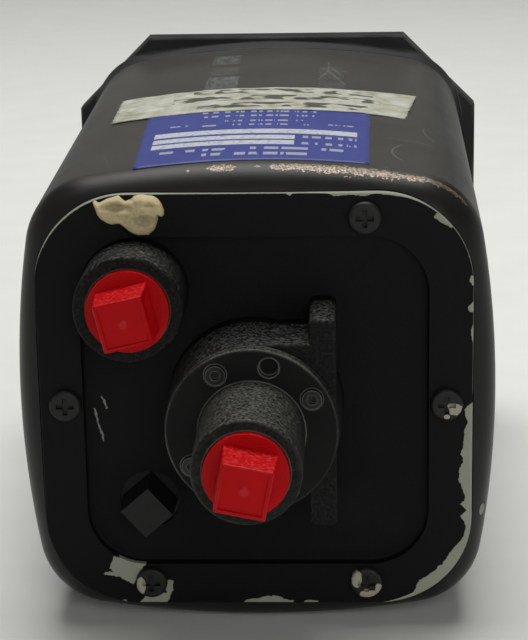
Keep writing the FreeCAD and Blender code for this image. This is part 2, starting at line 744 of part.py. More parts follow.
def make_roll_bearing_outer_rings():
    return several([y_ring(0, 0, bearing_r - bearing_race_t, bearing_r, y, y + bearing_w) for y in bearing_places()])


def make_roll_bearing_inner_rings():
    r0, r1 = bearing_bore_r, bearing_bore_r + bearing_race_t
    return several([y_ring(0, 0, r0, r1, y, y + bearing_w) for y in bearing_places()])


def make_roll_bearing_balls():
    r = (bearing_r - bearing_bore_r) / 2 - bearing_race_t - 0.02
    circle = (bearing_r + bearing_bore_r) / 2
    balls = []
    for y in bearing_places():
        for i in range(bearing_balls):
            x, z = around(circle, 360.0 * i / bearing_balls)
            balls.append(Part.makeSphere(r, Vector(x, y + bearing_w / 2, z)))
    return several(balls)


def make_bearing_spacer():
    return y_ring(0, 0, bearing_r - 0.9, bearing_r, bearing_front + bearing_w, bearing_rear)


def make_bearing_circlip():
    """Open ring in a groove behind the rear bearing."""
    y0 = bearing_rear + bearing_w + 0.05
    ring = y_ring(0, 0, bearing_r - 1.2, bearing_r + circlip_deep - 0.1, y0, y0 + circlip_t)
    return cut(ring, [block(-1.6, 1.6, y0 - 1, y0 + 2, -bearing_r - 2, -bearing_r + 3)])


def trunnion_screw_places():
    return [around(trunnion_circle_r, a) for a in trunnion_screw_angles]


def make_roll_shaft():
    """Hollow trunnion: air reaches the gimbal through it."""
    y0 = rear_bar_y + rear_bar_t
    flange = y_rod(0, 0, trunnion_flange_r, y0, y0 + trunnion_flange_t)
    collar = y_rod(0, 0, bearing_bore_r + 1.0, y0, bearing_front)
    journal = y_rod(0, 0, bearing_bore_r, y0, bearing_rear + bearing_w + 1.8)
    bore = y_rod(0, 0, shaft_bore_r, y0 - 1, bearing_rear + bearing_w + 3)
    holes = [y_rod(x, z, trunnion_thread_r, y0 - 1, y0 + 2 * trunnion_flange_t) for x, z in trunnion_screw_places()]
    return cut(fuse([flange, collar, journal]), [bore] + holes)


def make_shaft_nut():
    y0 = bearing_rear + bearing_w
    nut = y_ring(0, 0, bearing_bore_r, bearing_bore_r + 1.5, y0, y0 + 1.6)
    return cut(nut, [block(-8, 8, y0 + 0.9, y0 + 3, -0.6, 0.6)])


def make_trunnion_screws():
    y = rear_bar_y + rear_bar_t + trunnion_flange_t
    return several([rear_screw(x, z, y, 1.5 * trunnion_thread_r, 0.7, trunnion_thread_r, trunnion_flange_t + 2.4)
                    for x, z in trunnion_screw_places()])


# --- roll gimbal -----------------------------------------------------------------------------------
mask_front = mask_back - mask_t
mask_screw_z = 3.4


def mask_screw_places():
    return [(sx * (arm_in + arm_t / 2), sz * mask_screw_z) for sx in (-1, 1) for sz in (-1, 1)]


def make_roll_gimbal():
    """Frame that turns with roll: a rear bar and two arms that carry the gyro and the ball."""
    pieces = []
    for side in (-1, 1):
        x0, x1 = sorted((side * arm_in, side * arm_out))
        pieces.append(block(x0, x1, mask_back, rear_bar_y + rear_bar_t, -arm_half_h, arm_half_h))
        for y in (drum_y, gyro_y):
            pieces.append(x_rod(y, 0, arm_boss_r, x0, x1))
    pieces.append(block(-arm_out, arm_out, rear_bar_y, rear_bar_y + rear_bar_t, -arm_half_h, arm_half_h))
    pieces.append(y_rod(0, 0, trunnion_flange_r + 0.6, rear_bar_y, rear_bar_y + rear_bar_t))
    body = fuse(pieces)
    corners = [e for e in body.Edges if e.BoundBox.ZLength > 2 * arm_half_h - 0.1 and e.BoundBox.XLength < 1e-6
               and e.BoundBox.YLength < 1e-6 and abs(e.BoundBox.YMin - rear_bar_y - rear_bar_t) < 1e-6]
    body = body.makeFillet(2.8, corners)
    tools = [y_rod(0, 0, shaft_bore_r, rear_bar_y - 1, rear_bar_y + rear_bar_t + 1)]
    for side in (-1, 1):
        x0, x1 = sorted((side * (arm_in - 1), side * (arm_out + 1)))
        for y in (drum_y, gyro_y):
            tools.append(x_rod(y, 0, bush_r, x0, x1))
        half = arm_half_h - 2.6
        past = arm_boss_r + 3.0
        for y0, y1 in ((mask_back + 8.0, drum_y - past), (drum_y + past, gyro_y - past), (gyro_y + past, rear_bar_y - 3)):
            if y1 - y0 > 2 * half + 0.5:
                window = block(x0, x1, y0 + half, y1 - half, -half, half)
                tools += [window, x_rod(y0 + half, 0, half, x0, x1), x_rod(y1 - half, 0, half, x0, x1)]
    tools += [y_rod(x, z, 0.7, mask_back - 1, mask_back + 4) for x, z in mask_screw_places()]
    tools += [y_rod(x, z, trunnion_thread_r, rear_bar_y - 1, rear_bar_y + 9) for x, z in trunnion_screw_places()]
    return cut(body, tools)


def make_horizon_mask():
    """Ring in front of the ball; it turns with roll and carries the bank pointer."""
    ring = y_ring(0, 0, mask_window_r, mask_r, mask_front, mask_back)
    tip, foot, half = mask_window_r + 2.9, mask_window_r + 0.1, 1.9
    pointer = Part.makePolygon([point(-half, foot), point(half, foot), point(0, tip), point(-half, foot)])
    ring = fuse([ring, along_y(pointer, mask_front - 0.3, mask_front + 0.2)])
    return cut(ring, [y_rod(x, z, 0.8, mask_front - 2, mask_back + 1) for x, z in mask_screw_places()])


def make_mask_screws():
    screws = []
    for x, z in mask_screw_places():
        screw = rear_screw(x, z, 0, 1.3, 0.7, 0.7, 4.0)
        screw.rotate(Vector(x, 0, z), Vector(0, 0, 1), 180)
        screw.translate(Vector(0, mask_front, 0))
        screws.append(screw)
    return several(screws)


def make_pivot_bushes(y):
    """Two pivot bushes in the arms, at one cross axis."""
    rings = []
    for side in (-1, 1):
        x0, x1 = sorted((side * arm_in, side * arm_out))
        rings.append(x_rod(y, 0, bush_r, x0, x1).cut(x_rod(y, 0, pivot_r + running_gap, x0 - 1, x1 + 1)))
    return several(rings)


# --- ball and parallel link ------------------------------------------------------------------------
def make_horizon_ball():
    """Barrel-shaped ball: a spherical skin on two end plates."""
    centre = Vector(0, drum_y, 0)
    band = block(-drum_half_w, drum_half_w, drum_y - 40, drum_y + 40, -40, 40)
    skin = Part.makeSphere(drum_r, centre).common(band)
    end_t = 1.2
    inside = Part.makeSphere(drum_r - drum_wall, centre)
    inside = inside.common(block(end_t - drum_half_w, drum_half_w - end_t, drum_y - 40, drum_y + 40, -40, 40))
    skin = skin.cut(inside)
    a = math.radians(180 - drum_cover_deg)
    far = 60.0
    w = drum_half_w - end_t
    wedge_points = [Vector(-w, drum_y, 0), Vector(-w, drum_y + far * math.cos(a), far * math.sin(a)),
                    Vector(-w, drum_y + far, 0), Vector(-w, drum_y + far * math.cos(a), -far * math.sin(a))]
    wedge = Part.Face(Part.makePolygon(wedge_points + wedge_points[:1])).extrude(Vector(2 * w, 0, 0))
    ball = skin.cut(wedge)
    hub = x_rod(drum_y, 0, 3.4, -drum_half_w - 1.0, drum_half_w + 1.0)
    lighten = [x_rod(drum_y + dy, dz, 2.2, -drum_half_w - 2, drum_half_w + 2)
               for dy, dz in ((7.5, 0), (-7.5, 0), (0, -7.5))]
    return cut(fuse([ball, hub]), lighten + [x_rod(drum_y, 0, pivot_r, -40, 40)])


def make_ball_axle():
    return x_rod(drum_y, 0, pivot_r, -arm_out + 0.4, arm_out - 0.4)


def make_ball_crank_pin():
    return x_rod(drum_y, link_r, link_pin_r, drum_half_w, link_x + link_t + link_pin_over)


def make_link_rod():
    """Straight rod that turns the ball exactly as far as the gyro."""
    x0, x1 = link_x, link_x + link_t
    pieces = [block(x0, x1, drum_y, gyro_y, link_r - link_half_h, link_r + link_half_h)]
    pieces += [x_rod(y, link_r, link_eye_r, x0, x1) for y in (drum_y, gyro_y)]
    holes = [x_rod(gyro_y, link_r, link_pin_r + running_gap, x0 - 1, x1 + 1),
             x_rod(drum_y, link_r, link_pin_r + far_pin_gap, x0 - 1, x1 + 1)]
    return cut(fuse(pieces), holes)


# --- gyro ------------------------------------------------------------------------------------------
rotor_bearing_r = 3.6
rotor_shaft_r = 1.5
rotor_bearing_w = 2.6


def housing_screw_places():
    r = housing_r - 1.25
    return [(r * math.cos(math.radians(a)), r * math.sin(math.radians(a))) for a in (45, 135, 225, 315)]


def make_gyro_housing():
    """Cup round the rotor, with the pitch pivots, the air jets and the crank boss."""
    cup = z_rod(0, gyro_y, housing_r, -housing_top, chamber_half_h)
    cup = cup.makeFillet(2.0, [e for e in cup.Edges if abs(e.BoundBox.ZMax + housing_top) < 1e-6])
    pieces = [cup]
    for side in (-1, 1):
        x0, x1 = sorted((side * (chamber_r - 1), side * (link_x - 0.2)))
        pieces.append(x_rod(gyro_y, 0, 4.2, x0, x1))
    pieces.append(x_rod(gyro_y, link_r - 2.0, crank_web_r, chamber_r - 1, link_x - 0.8))
    pieces.append(x_rod(gyro_y, link_r, 2.0, chamber_r - 1, link_x - 0.8))
    pieces.append(y_rod(0, 0, 3.2, gyro_y + chamber_r - 1, gyro_y + housing_r + 0.7))
    body = fuse(pieces)
    tools = [z_rod(0, gyro_y, chamber_r, -chamber_half_h, chamber_half_h + 8),
             z_rod(0, gyro_y, rotor_bearing_r, -housing_top - 1, 0)]
    tools += [z_rod(x, gyro_y + y, 0.7, chamber_half_h - 5, chamber_half_h + 1) for x, y in housing_screw_places()]
    tools.append(y_rod(0, 0, 1.2, gyro_y + housing_r - 0.6, gyro_y + housing_r + 2))
    tools += [z_rod(dx, gyro_y + dy, 1.6, -housing_top - 1, 0) for dx, dy in ((5.4, 0), (-5.4, 0), (0, 5.4), (0, -5.4))]
    return cut(body, tools)


def make_gyro_housing_cover():
    top = housing_top
    lid = z_rod(0, gyro_y, housing_r, chamber_half_h, top)
    lid = lid.makeFillet(1.2, [e for e in lid.Edges if abs(e.BoundBox.ZMin - top) < 1e-6])
    nose = Part.makeCone(6.0, 4.8, 4.4, Vector(0, gyro_y, top - 0.4), Vector(0, 0, 1))
    tools = [z_rod(0, gyro_y, rotor_bearing_r, chamber_half_h - 1, top + 2.2)]
    tools += [z_rod(x, gyro_y + y, 0.85, chamber_half_h - 1, top + 1) for x, y in housing_screw_places()]
    tools.append(block(chamber_r - 0.2, housing_r + 1, gyro_y - crank_web_r - 0.2, gyro_y + crank_web_r + 0.2,
                       chamber_half_h - 1, top + 1))
    return cut(fuse([lid, nose]), tools)


def make_housing_screws():
    screws = []
    for x, y in housing_screw_places():
        head = z_rod(x, gyro_y + y, 1.2, housing_top, housing_top + 0.8)
        shank = z_rod(x, gyro_y + y, 0.7, housing_top - 5.0, housing_top)
        slot = block(x - 2, x + 2, gyro_y + y - 0.2, gyro_y + y + 0.2, housing_top + 0.45, housing_top + 2)
        screws.append(cut(fuse([head, shank]), [slot]))
    return several(screws)


def make_balance_weight():
    """Two nuts on a stud behind the housing."""
    y0 = gyro_y + housing_r
    stud = y_rod(0, 0, 1.2, y0 - 0.6, gyro_y + housing_sweep - 0.4)
    nuts = []
    for i in range(2):
        y = y0 + 0.7 + i * (balance_t / 2 + 0.1)
        hexagon = Part.makePolygon([point(*around(balance_r, 60 * k + 30)) for k in range(7)])
        nuts.append(along_y(hexagon, y, y + balance_t / 2))
    return fuse([stud] + nuts)


def make_pitch_pivots():
    pins = []
    for side in (-1, 1):
        x0, x1 = sorted((side * (link_x - 0.2), side * (arm_out - 0.4)))
        pins.append(x_rod(gyro_y, 0, pivot_r, x0, x1))
    return several(pins)


def make_gyro_crank_pin():
    return x_rod(gyro_y, link_r, link_pin_r, link_x - 0.8, link_x + link_t + link_pin_over)


def make_rotor():
    """Heavy-rimmed wheel with buckets cut in its edge for the air jets."""
    h = rotor_half_h
    profile = [(rotor_shaft_r, -h + 1), (5.0, -h + 1), (6.0, -3.2), (10.5, -3.2), (11.5, -h), (rotor_r, -h),
               (rotor_r, h), (11.5, h), (10.5, 3.2), (6.0, 3.2), (5.0, h - 1), (rotor_shaft_r, h - 1)]
    corners = [Vector(r, gyro_y, z) for r, z in profile]
    wheel = Part.Face(Part.makePolygon(corners + corners[:1])).revolve(Vector(0, gyro_y, 0), Vector(0, 0, 1), 360)
    buckets = []
    for i in range(bucket_count):
        a = 2 * math.pi * i / bucket_count
        x, y = (rotor_r + 0.6) * math.cos(a), (rotor_r + 0.6) * math.sin(a)
        buckets.append(z_rod(x, gyro_y + y, 1.7, -3.0, 3.0))
    return cut(wheel, buckets)


def make_rotor_shaft():
    reach = chamber_half_h + rotor_bearing_w - 0.4
    return z_rod(0, gyro_y, rotor_shaft_r, -reach, reach)


def make_rotor_bearings():
    rings = []
    for side in (-1, 1):
        z0, z1 = sorted((side * chamber_half_h, side * (chamber_half_h + rotor_bearing_w)))
        ring = z_rod(0, gyro_y, rotor_bearing_r, z0, z1)
        rings.append(ring.cut(z_rod(0, gyro_y, rotor_shaft_r + running_gap, z0 - 1, z1 + 1)))
    return several(rings)


# --- erecting vanes --------------------------------------------------------------------------------
vane_top = -housing_top
vane_bottom = -housing_top - vane_block_h
long_shaft_z = vane_top - 2.2
cross_shaft_z = vane_top - 4.4
vane_shaft_r = 0.6


def make_vane_block():
    """Square box under the housing; the exhaust air leaves by a port in each of its sides."""
    h = vane_block / 2
    box = block(-h, h, gyro_y - h, gyro_y + h, vane_bottom, vane_top)
    inner = block(-h + 1.4, h - 1.4, gyro_y - h + 1.4, gyro_y + h - 1.4, vane_bottom + 1.4, vane_top + 1)
    tools = [inner]
    for side in (-1, 1):
        y0, y1 = sorted((gyro_y + side * (h - 2), gyro_y + side * (h + 1)))
        tools.append(block(-4.2, 4.2, y0, y1, vane_bottom + 1.6, vane_bottom + 3.8))
        x0, x1 = sorted((side * (h - 2), side * (h + 1)))
        tools.append(block(x0, x1, gyro_y - 4.2, gyro_y + 4.2, vane_bottom + 1.4, vane_bottom + 2.4))
    tools.append(Part.makeCylinder(vane_shaft_r + running_gap, vane_block + 2, Vector(0, gyro_y - h - 1, long_shaft_z),
                                   Vector(0, 1, 0)))
    tools.append(x_rod(gyro_y, cross_shaft_z, vane_shaft_r + running_gap, -h - 1, h + 1))
    return cut(box, tools)


def make_long_vanes():
    """Shaft along Y with a vane on each end; each vane half covers its port."""
    h = vane_block / 2
    pieces = [Part.makeCylinder(vane_shaft_r, vane_block + 2 * (vane_gap + vane_t),
                                Vector(0, gyro_y - h - vane_gap - vane_t, long_shaft_z), Vector(0, 1, 0))]
    for side in (-1, 1):
        y0, y1 = sorted((gyro_y + side * (h + vane_gap), gyro_y + side * (h + vane_gap + vane_t)))
        x0, x1 = sorted((0.0, side * 4.6))
        pieces.append(block(x0, x1, y0, y1, vane_bottom + 1.0, long_shaft_z))
        pieces.append(block(-1.1, 1.1, y0, y1, long_shaft_z - 1.4, long_shaft_z + 1.1))
    return fuse(pieces)


def make_cross_vanes():
    """Shaft along X with a vane on each end."""
    h = vane_block / 2
    reach = h + vane_gap + vane_t
    pieces = [x_rod(gyro_y, cross_shaft_z, vane_shaft_r, -reach, reach)]
    for side in (-1, 1):
        x0, x1 = sorted((side * (h + vane_gap), side * reach))
        y0, y1 = sorted((gyro_y, gyro_y + side * 4.6))
        pieces.append(block(x0, x1, y0, y1, vane_bottom + 0.6, cross_shaft_z))
        pieces.append(block(x0, x1, gyro_y - 1.1, gyro_y + 1.1, cross_shaft_z - 1.2, cross_shaft_z + 1.1))
    return fuse(pieces)


PARTS = {
    "front_frame": make_front_frame,
    "front_seal": make_front_seal,
    "frame_screws": make_frame_screws,
    "glass": make_glass,
    "glass_gasket": make_glass_gasket,
    "retaining_ring": make_retaining_ring,
    "bank_scale_dish": make_bank_scale_dish,
    "dish_screws": make_dish_screws,
    "aircraft_slide": make_aircraft_slide,
    "miniature_aircraft": make_miniature_aircraft,
    "slide_gibs": make_slide_gibs,
    "adjust_shaft": make_adjust_shaft,
    "shaft_seal": make_shaft_seal,
    "crank_disc": make_crank_disc,
    "adjust_knob": make_adjust_knob,
    "knob_grub_screw": make_knob_grub_screw,
    "case_shell": make_case_shell,
    "rear_gasket": make_rear_gasket,
    "rear_cover": make_rear_cover,
    "cover_screws": make_cover_screws,
    "inlet_cap": make_inlet_cap,
    "cap_screws": make_cap_screws,
    "inlet_filter": make_inlet_filter,
    "inlet_plug": lambda: make_pipe_plug(0, 0, tube_top, inlet_plug_turn),
    "outlet_plug": lambda: make_pipe_plug(outlet_x, outlet_z, outlet_top, outlet_plug_turn),
    "drain_plug": make_drain_plug,
    "seal_putty": make_seal_putty,
    "roll_bearing_outer_rings": make_roll_bearing_outer_rings,
    "roll_bearing_inner_rings": make_roll_bearing_inner_rings,
    "roll_bearing_balls": make_roll_bearing_balls,
    "bearing_spacer": make_bearing_spacer,
    "bearing_circlip": make_bearing_circlip,
    "roll_shaft": make_roll_shaft,
    "shaft_nut": make_shaft_nut,
    "trunnion_screws": make_trunnion_screws,
    "roll_gimbal": make_roll_gimbal,
    "horizon_mask": make_horizon_mask,
    "mask_screws": make_mask_screws,
    "ball_bushes": lambda: make_pivot_bushes(drum_y),
    "pitch_bushes": lambda: make_pivot_bushes(gyro_y),
    "horizon_ball": make_horizon_ball,
    "ball_axle": make_ball_axle,
    "ball_crank_pin": make_ball_crank_pin,
    "link_rod": make_link_rod,
    "gyro_housing": make_gyro_housing,
    "gyro_housing_cover": make_gyro_housing_cover,
    "housing_screws": make_housing_screws,
    "balance_weight": make_balance_weight,
    "pitch_pivots": make_pitch_pivots,
    "gyro_crank_pin": make_gyro_crank_pin,
    "rotor": make_rotor,
    "rotor_shaft": make_rotor_shaft,
    "rotor_bearings": make_rotor_bearings,
    "vane_block": make_vane_block,
    "long_vanes": make_long_vanes,
    "cross_vanes": make_cross_vanes,
}

os.makedirs("parts", exist_ok=True)
for name, make in PARTS.items():
    shape = make()
    good = shape.isValid() and all(s.isClosed() and s.Volume > 0 for s in shape.Solids)
    print(f"{name:26s} solids {len(shape.Solids):2d} volume {shape.Volume:10.1f} {'ok' if good else 'BAD'}")
    shape.exportStep(f"parts/{name}.step")
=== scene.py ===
import math

import bmesh
import bpy
from mathutils import Matrix, Vector, noise


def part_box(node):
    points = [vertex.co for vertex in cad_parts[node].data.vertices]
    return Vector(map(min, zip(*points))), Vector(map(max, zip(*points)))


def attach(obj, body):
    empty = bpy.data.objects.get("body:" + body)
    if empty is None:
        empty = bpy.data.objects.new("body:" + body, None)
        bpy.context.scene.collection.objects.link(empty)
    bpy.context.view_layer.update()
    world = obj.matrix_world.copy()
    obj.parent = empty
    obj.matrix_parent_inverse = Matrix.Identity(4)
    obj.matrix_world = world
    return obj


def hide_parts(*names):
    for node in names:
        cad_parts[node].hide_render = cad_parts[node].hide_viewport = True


# Air-driven attitude indicator, dressed in the order in which it is put together. Lengths are in metres.
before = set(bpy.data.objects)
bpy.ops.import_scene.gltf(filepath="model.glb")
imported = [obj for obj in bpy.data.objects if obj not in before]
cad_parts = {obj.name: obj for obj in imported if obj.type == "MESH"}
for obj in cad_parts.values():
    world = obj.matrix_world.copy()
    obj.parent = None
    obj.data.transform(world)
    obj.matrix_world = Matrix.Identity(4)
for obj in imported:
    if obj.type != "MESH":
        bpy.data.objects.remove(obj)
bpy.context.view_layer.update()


# --- camera, floor and studio light ---
# The instrument lies on its flange and on the rolled edge of its case, on pale card that sweeps up all
# round. One broad lamp hangs above its dial end; a weaker one stands behind the camera, to its right.
MM = 0.001  # turns a drawing size into metres


def lens_colour(code):
    """sRGB hex as linear light, with alpha."""
    parts = [int(code[i:i + 2], 16) / 255 for i in (1, 3, 5)]
    return tuple(c / 12.92 if c <= 0.04045 else ((c + 0.055) / 1.055) ** 2.4 for c in parts) + (1.0,)


def feed(node, links):
    """Fills sockets, each with a value, a hex colour, another node's output, or a node for its first output."""
    for socket, value in links.items():
        if isinstance(value, bpy.types.Node):
            value = next(output for output in value.outputs if output.enabled)
        if isinstance(value, bpy.types.NodeSocket):
            node.id_data.links.new(value, node.inputs[socket])
        else:
            node.inputs[socket].default_value = lens_colour(value) if isinstance(value, str) else value


def add(tree, kind, links=None, **settings):
    """Adds a shader node with its settings, and fills the sockets that links names."""
    node = tree.nodes.new("ShaderNode" + kind)
    for key, value in settings.items():
        setattr(node, key, value)
    feed(node, links or {})
    return node


def start_finish(name, colour, **sockets):
    """A new finish: its node tree, its surface shader and the Object coordinates that its patterns use."""
    made = bpy.data.materials.new(name)
    made.use_nodes = True
    tree = made.node_tree
    shader = tree.nodes["Principled BSDF"]
    feed(shader, {"Base Color": colour, **{key.replace("_", " "): value for key, value in sockets.items()}})
    return made, tree, shader, add(tree, "TexCoord").outputs["Object"]


def mottled(tree, shader, where, scale, detail, first, second):
    """Lets the base colour drift between two tones; scale is in cells per metre. Gives the pattern back."""
    pattern = add(tree, "TexNoise", {"Vector": where, "Scale": scale, "Detail": detail})
    feed(shader, {"Base Color": add(tree, "MixRGB", {"Fac": pattern, "Color1": first, "Color2": second})})
    return pattern


scene = bpy.context.scene
camera_data = bpy.data.cameras.new("camera")
camera_data.sensor_width = 36.0
camera_data.lens = 122.19
camera_data.clip_start = 0.02
camera = bpy.data.objects.new("camera", camera_data)
camera.location = (-0.017874, 0.470039, 0.121809)
camera.rotation_euler = (math.radians(72.9417), math.radians(1.0463), math.radians(-177.6651))
scene.collection.objects.link(camera)
scene.camera = camera
scene.view_settings.view_transform = "Standard"

flange_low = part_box("front_frame")[0]
shell_low, shell_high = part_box("case_shell")
rest_slope = math.atan((shell_low.z - flange_low.z) / (shell_high.y - 6.5 * MM))


def paper_sheet():
    """The card lies flat under the instrument and sweeps up all round it; a half profile spun about Z."""
    bm = bmesh.new()
    profile = [(0.0, 0.0), (0.25, 0.0), (0.5, 0.0), (0.9, 0.0)]
    profile += [(0.9 + 0.25 * math.sin(math.radians(a)), 0.25 - 0.25 * math.cos(math.radians(a)))
                for a in range(4, 81, 4)]
    profile.append((profile[-1][0] + 0.04, profile[-1][1] + 0.12))
    line = [bm.verts.new((0.0, y, z)) for y, z in profile]
    for first, second in zip(line, line[1:]):
        bm.edges.new((first, second))
    bmesh.ops.spin(bm, geom=bm.verts[:] + bm.edges[:], axis=(0, 0, 1), angle=2 * math.pi, steps=96,
                   use_merge=True)
    bmesh.ops.remove_doubles(bm, verts=bm.verts, dist=0.0001)
    bmesh.ops.transform(bm, matrix=Matrix.Rotation(rest_slope, 4, "X"), verts=bm.verts)
    bmesh.ops.translate(bm, verts=bm.verts, vec=(0, 0, flange_low.z - 0.05 * MM))
    bmesh.ops.recalc_face_normals(bm, faces=bm.faces)
    if sum(f.normal.z * f.calc_area() for f in bm.faces) < 0:
        bmesh.ops.reverse_faces(bm, faces=bm.faces)
    return bm


def new_piece(name, bm, material, smooth=True):
    """Turns a bmesh into a finished object at the origin."""
    mesh = bpy.data.meshes.new(name)
    bm.to_mesh(mesh)
    bm.free()
    mesh.materials.append(material)
    mesh.polygons.foreach_set("use_smooth", [smooth] * len(mesh.polygons))
    piece = bpy.data.objects.new(name, mesh)
    scene.collection.objects.link(piece)
    return piece


# Matt card, rolled smooth: pale warm grey with a faint mottle from its fibres.
card, tree, shader, where = start_finish("matt_card_paper", "#dcdcd7", Roughness=0.9, IOR=1.3)
mottled(tree, shader, where, 60.0, 4.0, "#d6d7d2", "#e0e0db")
sheet = new_piece("paper_sheet", paper_sheet(), card)

world = bpy.data.worlds.new("studio_room")
scene.world = world
world.use_nodes = True
room = world.node_tree
seen = add(room, "LightPath").outputs["Is Camera Ray"]
level = add(room, "MapRange", {"Value": seen, "To Min": 0.07, "To Max": 0.52})
feed(room.nodes["Background"], {"Color": "#f4f6f8", "Strength": level})

for lamp_name, place, aim, size, power in (
        ("over_lamp", (0.0, -0.18, 0.95), (0.0, 0.03, 0.0), 0.7, 11.3),
        ("camera_lamp", (-0.25, 1.0, 0.42), (0.0, 0.08, 0.0), 0.6, 3.0)):
    lamp_data = bpy.data.lights.new(lamp_name, "AREA")
    lamp_data.size = size
    lamp_data.energy = power
    lamp = bpy.data.objects.new(lamp_name, lamp_data)
    lamp.location = place
    lamp.rotation_euler = (Vector(aim) - Vector(place)).to_track_quat("-Z", "Y").to_euler()
    scene.collection.objects.link(lamp)


# --- front frame ---
# Die-cast aluminium square with clipped corners, painted matt black; it carries the glass and bolts
# to the panel. Its paint has rubbed thin along the edges that lie against the panel.
def dress(names, material, crease=32.0):
    """Gives CAD pieces their finish. Their loose triangles are welded so that round faces shade as round."""
    for name in names:
        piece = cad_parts[name]
        for place in piece.material_slots:
            place.material = material
        weld = piece.modifiers.new("weld", "WELD")
        weld.merge_threshold = 0.000001
        split = piece.modifiers.new("crease", "EDGE_SPLIT")
        split.split_angle = math.radians(crease)
        piece.data.polygons.foreach_set("use_smooth", [True] * len(piece.data.polygons))


def joined(tree, operation, *masks):
    """Several masks as one: MULTIPLY keeps what all of them cover, and MAXIMUM what any of them covers."""
    whole = masks[0]
    for mask in masks[1:]:
        whole = add(tree, "Math", {0: whole, 1: mask}, operation=operation)
    return whole


def sharp_edge_mask(tree, radius, starts, full):
    """1 on edges sharper than the radius: how far the rounded normal leans away from the true one."""
    rounded = add(tree, "Bevel", {"Radius": radius}, samples=4)
    true_normal = add(tree, "NewGeometry").outputs["Normal"]
    lean = add(tree, "VectorMath", {0: rounded, 1: true_normal}, operation="DOT_PRODUCT")
    return add(tree, "MapRange", {"Value": lean, "From Min": starts, "From Max": full})


# Matt black stove enamel over a casting: nearly no shine, fine sandy skin, grey where the edges rub.
frame_paint, tree, shader, where = start_finish("matt_stove_enamel_on_casting", "#2c2e2d", Roughness=0.55,
                                                IOR=1.4, Specular_IOR_Level=0.25)
sand = add(tree, "TexNoise", {"Vector": where, "Scale": 1600.0, "Detail": 3.0})  # 0.6 mm sand
drift = add(tree, "TexNoise", {"Vector": where, "Scale": 90.0, "Detail": 5.0})  # 11 mm drift
worn = joined(tree, "MULTIPLY", sharp_edge_mask(tree, 0.6 * MM, 0.995, 0.93), drift)
worn = add(tree, "MapRange", {"Value": worn, "From Min": 0.42, "From Max": 0.62})
coat = add(tree, "MixRGB", {"Fac": drift, "Color1": "#1f2120", "Color2": "#2b2d2b"})
feed(shader, {"Base Color": add(tree, "MixRGB", {"Fac": worn, "Color1": coat, "Color2": "#5a5c55"}),
              "Normal": add(tree, "Bump", {"Height": sand, "Distance": 0.04 * MM})})
dress(["front_frame"], frame_paint)

# Nitrile rubber sheet: dark, dead matt, with a little bloom.
rubber, tree, shader, where = start_finish("nitrile_rubber_sheet", "#121212", Roughness=0.8, IOR=1.5)
mottled(tree, shader, where, 900.0, 2.0, "#0e0e0e", "#1b1b1a")
dress(["front_seal", "glass_gasket", "shaft_seal", "rear_gasket"], rubber)


# --- screws and other steel ---
# Pan-head screws, ring and shafts are turned or headed from steel wire. Outside ones are blackened.
# Oil-blackened steel: dark, with a low satin shine and the bright metal showing where a driver slipped.
black_steel, tree, shader, where = start_finish("oil_blackened_steel", "#1a1b1a", Roughness=0.42, Metallic=0.55)
pits = mottled(tree, shader, where, 1400.0, 3.0, "#141514", "#2b2c2a")  # 0.7 mm
feed(shader, {"Roughness": add(tree, "MapRange", {"Value": pits, "To Min": 0.32, "To Max": 0.6}),
              "Normal": add(tree, "Bump", {"Height": pits, "Distance": 0.03 * MM})})
dress(["frame_screws", "dish_screws", "mask_screws", "housing_screws", "trunnion_screws", "knob_grub_screw"],
      black_steel)

# Ground and polished steel, with turning rings too fine to see one by one: bright, slightly brushed.
bright_steel, tree, shader, where = start_finish("ground_bearing_steel", "#b9bbb9", Roughness=0.22, Metallic=1.0)
rub = add(tree, "TexNoise", {"Vector": where, "Scale": 500.0, "Detail": 4.0})
feed(shader, {"Roughness": add(tree, "MapRange", {"Value": rub, "To Min": 0.14, "To Max": 0.34})})
dress(["adjust_shaft", "crank_disc", "roll_bearing_outer_rings", "roll_bearing_inner_rings", "roll_bearing_balls",
       "roll_shaft", "shaft_nut", "pitch_pivots", "gyro_crank_pin", "rotor_bearings", "rotor_shaft", "ball_axle",
       "ball_crank_pin", "link_rod"], bright_steel, 24.0)

# Hardened spring wire: grey-blue, satin, with faint rolling marks along it.
spring_wire, tree, shader, where = start_finish("spring_steel_wire", "#6d7073", Roughness=0.35, Metallic=1.0)
mottled(tree, shader, where, 900.0, 2.0, "#5c5f63", "#85888a")
dress(["retaining_ring", "bearing_circlip"], spring_wire)


# --- glass and dial ---
# The glass is pressed on its gasket by the split ring. Behind it lies the spun dial dish with the
# bank scale, painted matt black so that nothing shines into the pilot's eyes.
window, tree, shader, where = start_finish("flat_window_glass", "#f4f8f6", Roughness=0.0, IOR=1.5, Alpha=0.2,
                                           Transmission_Weight=1.0)
mottled(tree, shader, where, 90.0, 2.0, "#f1f5f3", "#f8fbfa")
dress(["glass"], window)


